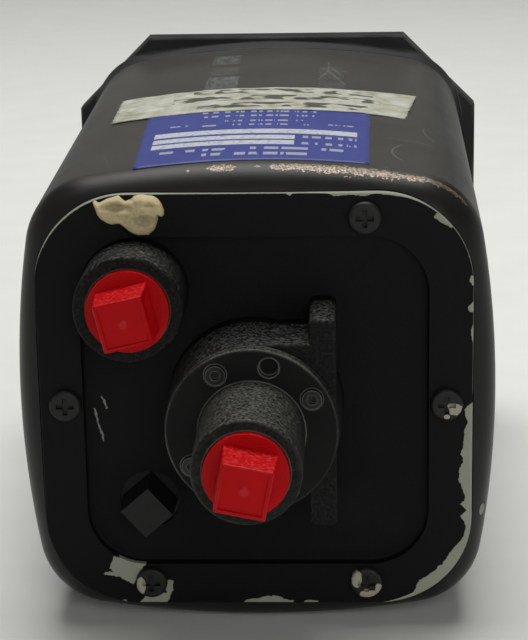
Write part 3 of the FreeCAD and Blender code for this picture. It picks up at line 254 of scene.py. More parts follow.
# Matt black dial lacquer with white silk-screened bank marks: short ones at 10 and 20 degrees, and
# long ones at 0, 30, 60 and 90 degrees.
dial_paint, tree, shader, where = start_finish("matt_black_dial_lacquer", "#0d0d0d", Roughness=0.75, IOR=1.45)
parts = add(tree, "SeparateXYZ", {0: where})
flat = add(tree, "CombineXYZ", {"X": parts.outputs["X"], "Y": parts.outputs["Z"]})
radius = add(tree, "VectorMath", {0: flat}, operation="LENGTH")
bank = add(tree, "Math", {0: parts.outputs["X"], 1: parts.outputs["Z"]}, operation="ARCTAN2")
bank = add(tree, "Math", {0: bank, 1: math.degrees(1)}, operation="MULTIPLY")
scale_inner = 25.4 * MM
ticks = []
for spacing, half_width, last, half_length in ((10.0, 0.28, 32.0, 1.0), (30.0, 0.42, 92.0, 1.5)):
    off = add(tree, "Math", {0: bank, 1: spacing}, operation="PINGPONG")
    off = joined(tree, "MULTIPLY", off, math.radians(1), radius)
    on_mark = add(tree, "Math", {0: off, 1: half_width * MM}, operation="LESS_THAN")
    in_scale = add(tree, "Math", {0: bank, 1: 0.0, 2: last}, operation="COMPARE")
    middle = scale_inner + half_length * MM
    in_reach = add(tree, "Math", {0: radius, 1: middle, 2: half_length * MM}, operation="COMPARE")
    ticks.append(joined(tree, "MULTIPLY", on_mark, in_scale, in_reach))
speck = add(tree, "TexNoise", {"Vector": where, "Scale": 1100.0, "Detail": 2.0})
ground = add(tree, "MixRGB", {"Fac": speck, "Color1": "#0b0b0b", "Color2": "#161616"})
print_mask = joined(tree, "MAXIMUM", *ticks)
feed(shader, {"Base Color": add(tree, "MixRGB", {"Fac": print_mask, "Color1": ground, "Color2": "#dedcd2"})})
dress(["bank_scale_dish"], dial_paint)

# The mask and the aircraft's slide have the same lacquer; only the mask's raised pointer is white.
mask_paint, tree, shader, where = start_finish("matt_black_lacquer_on_brass", "#0d0d0d", Roughness=0.72, IOR=1.45)
deep = add(tree, "SeparateXYZ", {0: where}).outputs["Y"]
mask_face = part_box("horizon_mask")[0].y
raised = add(tree, "Math", {0: deep, 1: mask_face, 2: 0.12 * MM}, operation="COMPARE")
speck = add(tree, "TexNoise", {"Vector": where, "Scale": 1100.0, "Detail": 2.0})
ground = add(tree, "MixRGB", {"Fac": speck, "Color1": "#0c0c0c", "Color2": "#171716"})
feed(shader, {"Base Color": add(tree, "MixRGB", {"Fac": raised, "Color1": ground, "Color2": "#e6e4da"})})
dress(["horizon_mask", "aircraft_slide"], mask_paint)

# Fluorescent orange lacquer on an etched blank: flat and bright, a little uneven.
orange, tree, shader, where = start_finish("fluorescent_orange_lacquer", "#e2571c", Roughness=0.5, IOR=1.45)
mottled(tree, shader, where, 700.0, 3.0, "#d8501a", "#ee6422")
dress(["miniature_aircraft"], orange)

# The ball: sky blue over earth brown, matt paint, with a white horizon and pitch bars every 5 degrees.
ball_paint, tree, shader, where = start_finish("matt_horizon_ball_paint", "#5d8fb4", Roughness=0.6, IOR=1.45)
ball_y = (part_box("ball_axle")[0].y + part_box("ball_axle")[1].y) / 2
ball_r = ball_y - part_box("horizon_ball")[0].y
five = ball_r * math.radians(5.0)  # five degrees of pitch, along the skin
parts = add(tree, "SeparateXYZ", {0: where})
depth = add(tree, "Math", {0: ball_y, 1: parts.outputs["Y"]}, operation="SUBTRACT")
pitch = add(tree, "Math", {0: parts.outputs["Z"], 1: depth}, operation="ARCTAN2")
height = joined(tree, "MULTIPLY", pitch, ball_r)
off_bar = add(tree, "Math", {0: height, 1: five}, operation="PINGPONG")
on_bar = add(tree, "Math", {0: off_bar, 1: 0.16 * MM}, operation="LESS_THAN")
off_ten = add(tree, "Math", {0: height, 1: 2 * five}, operation="PINGPONG")
is_ten = add(tree, "Math", {0: off_ten, 1: five / 2}, operation="LESS_THAN")
half_bar = add(tree, "MapRange", {"Value": is_ten, "To Min": 3.0 * MM, "To Max": 7.0 * MM})
wide = add(tree, "Math", {0: parts.outputs["X"], 1: 0.0, 2: half_bar}, operation="COMPARE")
in_scale = add(tree, "Math", {0: height, 1: 0.0, 2: 4.3 * five}, operation="COMPARE")
line = add(tree, "Math", {0: height, 1: 0.0, 2: 0.45 * MM}, operation="COMPARE")
marks = joined(tree, "MAXIMUM", joined(tree, "MULTIPLY", on_bar, wide, in_scale), line)
sky = add(tree, "Math", {0: height, 1: 0.0}, operation="GREATER_THAN")
brush = add(tree, "TexNoise", {"Vector": where, "Scale": 260.0, "Detail": 3.0})
blue = add(tree, "MixRGB", {"Fac": brush, "Color1": "#4f83a8", "Color2": "#6a9abb"})
brown = add(tree, "MixRGB", {"Fac": brush, "Color1": "#3b2a20", "Color2": "#4c382b"})
halves = add(tree, "MixRGB", {"Fac": sky, "Color1": brown, "Color2": blue})
feed(shader, {"Base Color": add(tree, "MixRGB", {"Fac": marks, "Color1": halves, "Color2": "#eceae0"})})
dress(["horizon_ball"], ball_paint)

# Phenolic knob, moulded and tumbled: black, half-gloss, duller on the flutes that fingers touch.
phenolic, tree, shader, where = start_finish("moulded_phenolic", "#151413", Roughness=0.35, IOR=1.55)
touch = add(tree, "TexNoise", {"Vector": where, "Scale": 420.0, "Detail": 4.0})
feed(shader, {"Roughness": add(tree, "MapRange", {"Value": touch, "To Min": 0.28, "To Max": 0.5}),
              "Normal": add(tree, "Bump", {"Height": touch, "Distance": 0.02 * MM})})
dress(["adjust_knob"], phenolic)


# --- gyro, gimbal and link ---
# The frame, the gyro's housing and the vanes are cast or cut from aluminium; the rotor, the bushes
# and the weights are turned from brass. None of it is painted.
# Tumbled aluminium casting: pale grey, satin, with a fine grain.
cast_aluminium, tree, shader, where = start_finish("tumbled_cast_aluminium", "#a9abaa", Roughness=0.45,
                                                   Metallic=1.0)
grain = mottled(tree, shader, where, 1300.0, 3.0, "#969997", "#bbbdba")  # 0.8 mm
feed(shader, {"Normal": add(tree, "Bump", {"Height": grain, "Distance": 0.03 * MM})})
dress(["roll_gimbal", "gyro_housing", "gyro_housing_cover", "vane_block", "long_vanes", "cross_vanes"],
      cast_aluminium)

# Turned brass: warm yellow, satin from the tool, a little tarnished.
brass, tree, shader, where = start_finish("turned_brass", "#b4924c", Roughness=0.3, Metallic=1.0)
tarnish = mottled(tree, shader, where, 160.0, 5.0, "#9b7a3c", "#c5a45c")
feed(shader, {"Roughness": add(tree, "MapRange", {"Value": tarnish, "To Min": 0.42, "To Max": 0.22})})
dress(["rotor", "balance_weight", "slide_gibs", "ball_bushes", "pitch_bushes", "bearing_spacer"], brass)

# Pressed wool felt: off-white, dull, fluffy at the surface.
felt, tree, shader, where = start_finish("pressed_wool_felt", "#b8b2a2", Roughness=0.95, IOR=1.4,
                                         Sheen_Weight=0.4)
fluff = mottled(tree, shader, where, 2200.0, 6.0, "#8f897b", "#cfc9b8")
feed(shader, {"Normal": add(tree, "Bump", {"Height": fluff, "Distance": 0.2 * MM})})
dress(["inlet_filter"], felt)


# --- case ---
# Drawn aluminium case, stove-enamelled black over a pale primer. Years of sliding in and out of a
# panel have rubbed its top rear edge to the metal; glue from old stickers has left grey marks.
def patch(tree, where, centre, reach, ragged, rough=0.5):
    """A ragged patch: 1 inside an ellipsoid, in millimetres, whose edge wanders with a noise pattern."""
    away = add(tree, "VectorMath", {0: where, 1: [c * MM for c in centre]}, operation="SUBTRACT")
    share = add(tree, "VectorMath", {0: away, 1: [r * MM for r in reach]}, operation="DIVIDE")
    far = add(tree, "VectorMath", {0: share}, operation="LENGTH")
    wander = add(tree, "Math", {0: ragged, 1: 2 * rough, 2: 1.0 - rough}, operation="MULTIPLY_ADD")
    return add(tree, "Math", {0: far, 1: wander}, operation="LESS_THAN")


def flake_off(tree, point, corners):
    """1 inside a flat flake with straight sides; its corners are the point's X and Z in millimetres."""
    sides = []
    middle = sum((Vector(c) for c in corners), Vector((0, 0))) / len(corners)
    for first, second in zip(corners, corners[1:] + corners[:1]):
        side = Vector((second[1] - first[1], first[0] - second[0])).normalized()
        if side.dot(middle) > side.dot(Vector(first)):
            side = -side
        over = add(tree, "VectorMath", {0: point, 1: (side.x, 0.0, side.y)}, operation="DOT_PRODUCT")
        sides.append(add(tree, "Math", {0: over, 1: side.dot(Vector(first)) * MM}, operation="SUBTRACT"))
    return add(tree, "Math", {0: joined(tree, "MAXIMUM", *sides), 1: 0.0}, operation="LESS_THAN")


def rectangle(tree, x, y, middle_x, half_x, middle_y, half_y):
    """1 inside a rectangle of x and y, given in millimetres by its middle and its half sides."""
    across = add(tree, "Math", {0: x, 1: middle_x * MM, 2: half_x * MM}, operation="COMPARE")
    along = add(tree, "Math", {0: y, 1: middle_y * MM, 2: half_y * MM}, operation="COMPARE")
    return joined(tree, "MULTIPLY", across, along)


def upward_dust_and_light(tree, starts, full, depth):
    """Dust and painted top light on faces that look up: none until the normal's Z passes starts, and depth from
    full on.
    """
    facing = add(tree, "SeparateXYZ", {0: add(tree, "NewGeometry").outputs["Normal"]}).outputs["Z"]
    return add(tree, "MapRange", {"Value": facing, "From Min": starts, "From Max": full, "To Max": depth})


# Black stove enamel on drawn aluminium: smooth satin, brightest where it is seen along the surface.
case_paint, tree, shader, where = start_finish("black_stove_enamel", "#161614", Roughness=0.4, IOR=1.42,
                                             Specular_IOR_Level=0.22)
parts = add(tree, "SeparateXYZ", {0: where})
x, y, z = parts.outputs["X"], parts.outputs["Y"], parts.outputs["Z"]
cloud = add(tree, "TexNoise", {"Vector": where, "Scale": 70.0, "Detail": 6.0, "Roughness": 0.6})  # 14 mm
fine = add(tree, "TexNoise", {"Vector": where, "Scale": 2600.0, "Detail": 2.0})  # 0.4 mm orange peel
flake = add(tree, "TexNoise", {"Vector": where, "Scale": 1300.0, "Detail": 7.0, "Roughness": 0.72})  # 0.8 mm
# bare strip along the top of the rolled edge: its half width in mm follows the ramp from left to right
along = add(tree, "MapRange", {"Value": x, "From Min": 10.0 * MM, "From Max": -36.0 * MM})
width = add(tree, "ValToRGB", {"Fac": along})
stops = ((0.0, 0.0), (0.05, 0.0), (0.075, 0.62), (0.145, 0.6), (0.165, 0.0), (0.225, 0.0), (0.235, 0.3),
         (0.25, 0.0), (0.28, 0.0), (0.295, 0.6), (0.40, 0.85), (0.55, 0.95), (0.70, 0.75), (0.80, 0.6),
         (0.88, 0.5), (0.93, 0.4), (0.985, 0.3), (1.0, 0.0))
ramp = width.color_ramp
ramp.elements[1].position = 1.0
ramp.elements[0].color = ramp.elements[1].color = (0, 0, 0, 1)
for at, half in stops[1:-1]:
    ramp.elements.new(at).color = (half, half, half, 1)
sway = add(tree, "Math", {0: cloud, 1: 1.6 * MM, 2: 117.35 * MM}, operation="MULTIPLY_ADD")
from_line = add(tree, "Math", {0: y, 1: sway}, operation="SUBTRACT")
from_line = add(tree, "Math", {0: from_line}, operation="ABSOLUTE")
reach = add(tree, "Math", {0: flake, 1: 3.6, 2: -0.95}, operation="MULTIPLY_ADD")
half = joined(tree, "MULTIPLY", joined(tree, "MULTIPLY", width, reach), 1.3 * MM)
strip = add(tree, "Math", {0: from_line, 1: half}, operation="LESS_THAN")
on_top = add(tree, "Math", {0: z, 1: 22.0 * MM}, operation="GREATER_THAN")
strip = joined(tree, "MULTIPLY", strip, on_top)
nick = patch(tree, where, (10.6, 118.6, 40.0), (0.25, 0.3, 3.0), flake)
bare = joined(tree, "MAXIMUM", strip, nick)
# one rub mark low on the right side, through to the primer
chips = patch(tree, where, (-39.2, 119.0, -20.5), (1.5, 0.8, 1.1), flake, 0.35)
# glue marks on top, drawn out along the sticker's edge
streaks = add(tree, "Mapping", {"Vector": where, "Scale": (900.0, 300.0, 1.0)})
glue_lines = add(tree, "TexNoise", {"Vector": streaks, "Scale": 1.0, "Detail": 5.0, "Roughness": 0.7})
glue_lines = add(tree, "MapRange", {"Value": glue_lines, "From Min": 0.36, "From Max": 0.66, "To Max": 0.42})
marks = [joined(tree, "MULTIPLY", rectangle(tree, x, y, *window), shade) for window, shade in (
    ((9.6, 2.9, 21.0, 5.0), 0.75), ((9.4, 2.7, 33.5, 4.2), 0.35), ((9.2, 3.2, 46.3, 6.6), 0.95),
    ((-12.6, 2.7, 48.5, 3.6), 0.30), ((-12.0, 2.2, 36.0, 7.0), 0.22))]
glue = joined(tree, "MULTIPLY", joined(tree, "MAXIMUM", *marks), glue_lines)


def scored_arc(tree, x, y, centre, radius, half_width, window):
    """A fine scored arc on the top of the case, in millimetres, kept to a window of x and y."""
    dx = add(tree, "Math", {0: x, 1: centre[0] * MM}, operation="SUBTRACT")
    dy = add(tree, "Math", {0: y, 1: centre[1] * MM}, operation="SUBTRACT")
    flat = add(tree, "CombineXYZ", {"X": dx, "Y": dy})
    far = add(tree, "VectorMath", {0: flat}, operation="LENGTH")
    line = add(tree, "Math", {0: far, 1: radius * MM, 2: half_width * MM}, operation="COMPARE")
    return joined(tree, "MULTIPLY", line, rectangle(tree, x, y, *window))


seen_flat = add(tree, "CombineXYZ", {"X": x, "Z": y})
scratches = (((-11.5, 23.5), (-11.7, 23.5), (-11.8, 33.8), (-11.5, 33.8)),
             ((-11.5, 33.4), (-11.8, 33.4), (-9.9, 43.4), (-9.7, 43.2)),
             ((-11.4, 33.4), (-11.8, 33.6), (-15.1, 46.3), (-14.8, 46.3)),
             ((-10.1, 31.3), (-10.1, 31.9), (-15.4, 33.4), (-15.4, 33.0)),
             ((-11.9, 29.3), (-12.1, 29.0), (-14.9, 38.8), (-14.7, 39.0)),
             ((27.0, 101.0), (26.9, 101.2), (24.9, 109.8), (25.0, 109.9)))
arcs = (((-34.5, 103.0), 11.0, 0.16, (-23.7, 1.6, 101.0, 8.0)),
        ((-8.0, 125.0), 17.2, 0.14, (-23.2, 1.2, 112.0, 4.0)),
        ((-28.5, 66.0), 26.8, 0.14, (-27.0, 4.0, 92.0, 4.0)),
        ((-42.0, 82.0), 12.5, 0.12, (-30.2, 1.0, 85.0, 5.0)))
scores = joined(tree, "MAXIMUM", *(flake_off(tree, seen_flat, corners) for corners in scratches),
                *(scored_arc(tree, x, y, *arc) for arc in arcs))
on_upper = add(tree, "Math", {0: z, 1: 34.0 * MM}, operation="GREATER_THAN")
scores = joined(tree, "MULTIPLY", scores, on_upper)
coat = add(tree, "MixRGB", {"Fac": cloud, "Color1": "#151514", "Color2": "#232220"})
drifts = add(tree, "MapRange", {"Value": cloud, "To Min": 0.6, "To Max": 1.2})
# Upward faces turn a grey film: partly dust, partly a painted sheen where the top catches the light.
dust_and_top_light = joined(tree, "MULTIPLY", upward_dust_and_light(tree, 0.80, 0.97, 0.55), drifts)
coat = add(tree, "MixRGB", {"Fac": dust_and_top_light, "Color1": coat, "Color2": "#55534d"})
coat = add(tree, "MixRGB", {"Fac": glue, "Color1": coat, "Color2": "#8b9294"})
coat = add(tree, "MixRGB", {"Fac": joined(tree, "MULTIPLY", scores, 0.26), "Color1": coat, "Color2": "#8d908c"})
coat = add(tree, "MixRGB", {"Fac": chips, "Color1": coat, "Color2": "#8a8c7e"})
# The bare metal is speckled light and dark: its own scratched tone, with painted glints.
glint = add(tree, "TexNoise", {"Vector": where, "Scale": 2600.0, "Detail": 4.0, "Roughness": 0.7})
glint = add(tree, "MapRange", {"Value": glint, "From Min": 0.40, "From Max": 0.64})
bare_metal_with_glints = add(tree, "MixRGB", {"Fac": glint, "Color1": "#3d352e", "Color2": "#8d7f70"})
coat = add(tree, "MixRGB", {"Fac": bare, "Color1": coat, "Color2": bare_metal_with_glints})
satin = add(tree, "MapRange", {"Value": cloud, "To Min": 0.30, "To Max": 0.46})
rough = joined(tree, "MAXIMUM", satin, joined(tree, "MULTIPLY", joined(tree, "MAXIMUM", glue, chips), 0.8))
open_skin = joined(tree, "MAXIMUM", bare, chips)
relief = add(tree, "Math", {0: open_skin, 1: -0.8, 2: 0.9}, operation="MULTIPLY_ADD")
relief = add(tree, "Math", {0: fine, 1: 0.08, 2: relief}, operation="MULTIPLY_ADD")
feed(shader, {"Base Color": coat, "Metallic": joined(tree, "MULTIPLY", bare, 0.45), "Roughness": rough,
              "Normal": add(tree, "Bump", {"Height": relief, "Distance": 0.1 * MM})})
dress(["case_shell"], case_paint)


# --- data plate and masking tape ---
# A printed foil sticker lies on the crown of the case, its fields left blank; a strip of masking tape
# overlaps its front edge. Both are stuck down and follow the bulge of the case.
crown_r = 0.170
crown_z = -0.129


def stuck_strip(radius, angles, front, back, thick, across, turns):
    """A sheet on the crowned top: an edge along Y spun about the crown's axis, then given a thickness."""
    bm = bmesh.new()
    start = Matrix.Rotation(angles[0], 4, "Y")
    low = bm.verts.new(start @ Vector((0, front, radius)))
    high = bm.verts.new(start @ Vector((0, back, radius)))
    line = bm.edges.new((low, high))
    bmesh.ops.subdivide_edges(bm, edges=[line], cuts=across)
    bmesh.ops.spin(bm, geom=bm.verts[:] + bm.edges[:], axis=(0, 1, 0), angle=angles[1] - angles[0],
                   steps=turns)
    bmesh.ops.translate(bm, verts=bm.verts, vec=(0, 0, crown_z))
    bmesh.ops.recalc_face_normals(bm, faces=bm.faces)
    if sum(f.normal.z for f in bm.faces) < 0:
        bmesh.ops.reverse_faces(bm, faces=bm.faces)
    bmesh.ops.solidify(bm, geom=bm.faces[:], thickness=thick)
    return bm


plate = stuck_strip(crown_r + 0.09 * MM, (math.asin(-0.0197 / crown_r), math.asin(0.0206 / crown_r)),
                    73.0 * MM, 116.0 * MM, 0.06 * MM, 24, 40)
for v in plate.verts:  # the sticker was put on a little out of square
    skew = (v.co.y - 0.0950) / 0.0215
    v.co.x += 0.0002 * skew * (1 if v.co.x < 0 else -3)
    v.co.y += 0.0009 * v.co.x / 0.02

# Foil sticker printed royal blue, with blank white data fields: smooth, half-gloss, thumb-worn.
sticker, tree, shader, where = start_finish("printed_foil_sticker", "#3c4a8c", Roughness=0.42, IOR=1.48,
                                          Specular_IOR_Level=0.25)
parts = add(tree, "SeparateXYZ", {0: where})
x, y = parts.outputs["X"], parts.outputs["Y"]
white = joined(tree, "MAXIMUM", *(
    rectangle(tree, x, y, (left + right) / 2, (left - right) / 2, (near + far) / 2, (near - far) / 2)
    for left, right, near, far in (
        (18.4, -17.5, 95.0, 91.4), (18.3, -6.6, 99.6, 96.4), (18.2, -6.6, 103.9, 100.6))))
# rows of print are left as broken bars that spell nothing: left and right end, middle and half height
small_rows = (
    (11.5, -10.0, 76.0, 0.7), (10.5, -9.7, 79.6, 0.7), (7.0, -9.3, 84.0, 0.6), (10.3, -9.2, 87.4, 0.6),
    (17.6, 13.0, 86.2, 0.5), (-11.5, -16.8, 86.6, 0.5), (-7.8, -17.4, 97.6, 0.9), (-7.8, -17.4, 102.7, 0.9))
large_rows = ((10.0, -10.6, 111.0, 1.0), (16.6, 4.5, 107.3, 0.9), (1.5, -15.8, 106.9, 0.9))
print_rows = []
for rows, bar_scale, detail, cut, strength in ((small_rows, (1000.0, 40.0, 1.0), 2.0, 0.5, 0.55),
                                               (large_rows, (560.0, 30.0, 1.0), 1.0, 0.47, 0.6)):
    grain = add(tree, "Mapping", {"Vector": where, "Scale": bar_scale})
    broken = add(tree, "TexNoise", {"Vector": grain, "Scale": 1.0, "Detail": detail})
    bars = add(tree, "Math", {0: broken, 1: cut}, operation="GREATER_THAN")
    band = joined(tree, "MAXIMUM", *(rectangle(tree, x, y, (left + right) / 2, (left - right) / 2, middle, half)
                                     for left, right, middle, half in rows))
    print_rows.append(joined(tree, "MULTIPLY", band, bars, strength))
fade = add(tree, "TexNoise", {"Vector": where, "Scale": 160.0, "Detail": 5.0})
specks = add(tree, "TexNoise", {"Vector": where, "Scale": 1500.0, "Detail": 3.0})
ink = add(tree, "MixRGB", {"Fac": fade, "Color1": "#333b7c", "Color2": "#404888"})
worn_white = add(tree, "MapRange", {"Value": specks, "From Min": 0.3, "From Max": 0.5,
                                    "To Min": 0.45, "To Max": 1.0})
printed = joined(tree, "MAXIMUM", joined(tree, "MULTIPLY", white, worn_white), *print_rows)
tone = add(tree, "MixRGB", {"Fac": printed, "Color1": ink, "Color2": "#b9bcc0"})
feed(shader, {"Base Color": tone,
              "Roughness": add(tree, "MapRange", {"Value": fade, "To Min": 0.35, "To Max": 0.55}),
              "Normal": add(tree, "Bump", {"Height": specks, "Distance": 0.01 * MM})})
data_plate = new_piece("data_plate", plate, sticker)
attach(data_plate, "case")

tape = stuck_strip(crown_r + 0.30 * MM, (math.asin(-0.0276 / crown_r), math.asin(0.0280 / crown_r)),
                   53.8 * MM, 74.8 * MM, 0.14 * MM, 30, 80)
for v in tape.verts:  # torn ends, a slanted right end, and a wavy lie
    right = max(0.0, min(1.0, (-v.co.x - 0.018) / 0.0095))
    left = max(0.0, min(1.0, (v.co.x - 0.018) / 0.0095))
    lengthways = (v.co.y - 0.0643) / 0.0105
    v.co.x += right * (0.0013 * lengthways + 0.0004 * noise.noise(Vector((3.0, v.co.y * 900, 0.0))))
    v.co.x += left * 0.0005 * noise.noise(Vector((9.0, v.co.y * 1100, 0.0)))
    v.co.y += 0.0008 * math.sin(v.co.x * 55 + 0.4) + 0.0002 * noise.noise(Vector((v.co.x * 300, 1.0, 2.0)))
    v.co.z += 0.00007 * noise.noise(Vector((v.co.x * 260, v.co.y * 260, 5.0)))

# Crepe masking tape: straw-white paper with fine cross creases, and smudges of dark ink soaked in.
crepe, tree, shader, where = start_finish("crepe_masking_tape", "#c9c8b4", Roughness=0.8, IOR=1.4)
stretched = add(tree, "Mapping", {"Vector": where, "Scale": (900.0, 120.0, 1.0)})
creases = add(tree, "TexNoise", {"Vector": stretched, "Scale": 1.0, "Detail": 4.0})
stain = add(tree, "TexNoise", {"Vector": where, "Scale": 260.0, "Detail": 6.0, "Roughness": 0.7})
stain = add(tree, "MapRange", {"Value": stain, "From Min": 0.34, "From Max": 0.66})
paper = add(tree, "MixRGB", {"Fac": stain, "Color1": "#8c8a73", "Color2": "#b9bab0"})
blot_map = add(tree, "Mapping", {"Vector": where, "Scale": (270.0, 330.0, 1.0)})
blots = add(tree, "TexNoise", {"Vector": blot_map, "Scale": 1.0, "Detail": 0.6, "Distortion": 0.5})
strokes = add(tree, "MapRange", {"Value": blots, "From Min": 0.47, "From Max": 0.56, "To Max": 0.9})
parts = add(tree, "SeparateXYZ", {0: where})
x, y = parts.outputs["X"], parts.outputs["Y"]
rows = joined(tree, "MAXIMUM", *(
    rectangle(tree, x, y, (left + right) / 2, (left - right) / 2, middle, half)
    for left, right, middle, half in (
        (14.0, -20.5, 57.2, 1.9), (17.5, -22.0, 63.6, 2.2), (12.5, -19.5, 70.4, 2.2))))
inked = joined(tree, "MULTIPLY", strokes, rows)
tone = add(tree, "MixRGB", {"Fac": inked, "Color1": paper, "Color2": "#31322f"})
feed(shader, {"Base Color": tone, "Normal": add(tree, "Bump", {"Height": creases, "Distance": 0.06 * MM})})
masking_tape = new_piece("masking_tape", tape, crepe)
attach(masking_tape, "case")


# --- rear cover ---
# Sand-cast aluminium plate with its boss, air duct and ports in one piece, sprayed matt black over a
# pale green primer. The black has flaked off in chips along the edge and round the lower screws.
def flaked_edge(tree, x, z, half, corner, span, stops, flake, bite):
    """Chips along a rounded square's edge: stops give a width in mm at each angle round it, in degrees."""
    straight = half - corner
    over = []
    for coordinate in (x, z):
        out = add(tree, "Math", {0: coordinate}, operation="ABSOLUTE")
        out = add(tree, "Math", {0: out, 1: straight}, operation="SUBTRACT")
        over.append(joined(tree, "MAXIMUM", out, 0.0))
    out = add(tree, "CombineXYZ", {"X": over[0], "Y": over[1]})
    far = add(tree, "VectorMath", {0: out}, operation="LENGTH")
    inward = add(tree, "Math", {0: corner, 1: far}, operation="SUBTRACT")
    across = add(tree, "Math", {0: x, 1: -1.0}, operation="MULTIPLY")
    angle = add(tree, "Math", {0: z, 1: across}, operation="ARCTAN2")
    share = add(tree, "MapRange", {"Value": angle, "From Min": math.radians(span[0]),
                                  "From Max": math.radians(span[1])})
    width = add(tree, "ValToRGB", {"Fac": share})
    ramp = width.color_ramp
    ramp.elements[0].color = ramp.elements[1].color = (0, 0, 0, 1)
    for degrees, mm in stops:
        ramp.elements.new((degrees - span[0]) / (span[1] - span[0])).color = (mm / 4.0,) * 3 + (1,)
    ragged = add(tree, "Math", {0: flake, 1: bite, 2: 1.0 - bite / 2}, operation="MULTIPLY_ADD")
    reach = joined(tree, "MULTIPLY", joined(tree, "MULTIPLY", width, ragged), 4.0 * MM)
    return add(tree, "Math", {0: inward, 1: reach}, operation="LESS_THAN")


border_y = shell_high.y
cover_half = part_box("rear_cover")[1].x
cover_corner = 16.0 * MM
# Matt black paint on a sandy casting: almost no shine; where it has flaked the primer is pale sage green.
cover_paint, tree, shader, where = start_finish("matt_black_paint_on_sand_casting", "#080909", Roughness=0.6,
                                                IOR=1.36, Specular_IOR_Level=0.17)
parts = add(tree, "SeparateXYZ", {0: where})
x, y, z = parts.outputs["X"], parts.outputs["Y"], parts.outputs["Z"]
flake = add(tree, "TexNoise", {"Vector": where, "Scale": 1200.0, "Detail": 6.0, "Roughness": 0.65})  # 0.8 mm
sand = add(tree, "TexNoise", {"Vector": where, "Scale": 1900.0, "Detail": 3.0})  # 0.5 mm sand
cloud = add(tree, "TexNoise", {"Vector": where, "Scale": 80.0, "Detail": 5.0})
stray = add(tree, "VectorMath", {0: flake.outputs["Color"], 1: (0.5, 0.5, 0.5)}, operation="SUBTRACT")
stray = add(tree, "VectorMath", {0: stray, "Scale": 1.1 * MM}, operation="SCALE")
torn = add(tree, "VectorMath", {0: where, 1: stray}, operation="ADD")
right_stops = ((-60.5, 0.0), (-58.5, 0.25), (-55, 0.6), (-52.2, 0.8), (-49.3, 2.4), (-44.4, 2.1), (-42, 2.0),
               (-38.6, 2.0), (-35.3, 1.13), (-32.6, 0.85), (-31.3, 1.2), (-30.6, 2.0), (-28.4, 0.8),
               (-27.8, 1.85), (-25.6, 1.08), (-22, 2.2), (-18.6, 2.1), (-15.7, 1.45), (-14.8, 1.95),
               (-10.5, 1.4), (-7.8, 1.34), (-5.3, 0.8), (-4.7, 1.07), (-2.0, 1.35), (-0.8, 0.9), (-0.2, 0.45),
               (0.2, 0.0))
top_stops = ((3, 0.06), (40, 0.06), (48, 0.12), (54, 0.2), (58, 0.4), (61, 0.25), (63, 0.7), (66, 0.4),
             (69, 0.65), (71, 0.15), (74, 0.11), (79.5, 0.11), (80, 0.6), (81, 0.11), (100, 0.12), (110, 0.1),
             (118, 0.14), (126, 0.18), (134, 0.3), (140, 0.25), (146, 0.08), (149, 0.0))
on_face = add(tree, "Math", {0: y, 1: border_y - 0.5 * MM}, operation="GREATER_THAN")
edge_chips = joined(tree, "MAXIMUM", *(
    flaked_edge(tree, x, z, cover_half, cover_corner, span, stops, flake, bite)
    for span, stops, bite in (((-62, 2), right_stops, 0.7), ((2, 150), top_stops, 0.9))))
flakes = (
    # upper right, four spots down the right edge
    ((-30.4, 33.3), (-30.1, 32.5), (-31.3, 31.6), (-32.9, 30.6), (-33.4, 31.0), (-31.8, 32.8)),
    ((-35.9, 26.1), (-36.3, 26.1), (-36.9, 23.9), (-36.4, 23.9)),
    ((-36.4, 22.5), (-37.2, 22.4), (-37.2, 20.7), (-36.4, 20.7), (-36.1, 21.6)),
    ((-36.6, 17.9), (-37.2, 17.9), (-37.2, 16.2), (-36.3, 16.1), (-35.7, 16.9)),
    ((-36.7, 14.3), (-37.2, 14.3), (-37.2, 10.8), (-36.7, 10.9), (-36.4, 13.0)),
    # lower left patch with its tail
    ((25.2, -28.0), (19.2, -29.0), (20.9, -30.8), (26.0, -30.3), (25.8, -29.2)),
    ((20.8, -30.6), (22.0, -33.2), (24.6, -31.8), (26.0, -30.1)),
    ((27.2, -31.4), (24.6, -31.9), (25.0, -30.9), (26.6, -30.9)),
    # round the lower left screw and down to the edge
    ((15.0, -32.5), (15.9, -32.5), (16.4, -33.9), (16.0, -35.6), (15.0, -34.4)),
    ((15.3, -34.8), (17.3, -34.9), (20.0, -35.6), (21.0, -36.8), (16.2, -36.8)),
    ((23.9, -36.2), (23.3, -36.3), (23.2, -36.6), (24.3, -36.6)),
    # bottom edge
    ((2.9, -36.9), (2.5, -36.3), (0.6, -36.0), (-4.2, -36.0), (-5.9, -36.4), (-6.0, -37.0)),
    ((0.5, -36.1), (-0.4, -35.3), (-1.6, -35.4), (-3.1, -35.1), (-3.9, -35.5), (-4.3, -36.2)),
    ((-7.5, -37.0), (-8.0, -36.3), (-9.2, -36.1), (-10.3, -36.4), (-10.3, -37.0)),
    # a speck at the left edge
    ((35.2, 28.2), (34.7, 27.9), (35.0, 27.5)))
spots = joined(tree, "MAXIMUM", *(flake_off(tree, torn, corners) for corners in flakes))
# two scores in the floor of the recess, beside the left screw
scores = joined(tree, "MAXIMUM", *(flake_off(tree, torn, corners) for corners in (
    ((27.6, -1.2), (27.9, -1.2), (26.5, -7.3), (26.2, -7.2)),
    ((26.5, 0.9), (26.2, 1.0), (25.4, -1.2), (25.8, -1.3)))))
edge_chips = joined(tree, "MULTIPLY", joined(tree, "MAXIMUM", edge_chips, spots), on_face)
chips = joined(tree, "MAXIMUM", edge_chips, joined(tree, "MULTIPLY", scores, 0.7))
coat = add(tree, "MixRGB", {"Fac": cloud, "Color1": "#080909", "Color2": "#121312"})
raised = add(tree, "Math", {0: y, 1: border_y + 1.5 * MM}, operation="GREATER_THAN")
grit = add(tree, "MapRange", {"Value": sand, "From Min": 0.45, "From Max": 0.75})
coat = add(tree, "MixRGB", {"Fac": joined(tree, "MULTIPLY", joined(tree, "MULTIPLY", grit, raised), 0.5),
                            "Color1": coat, "Color2": "#32332f"})
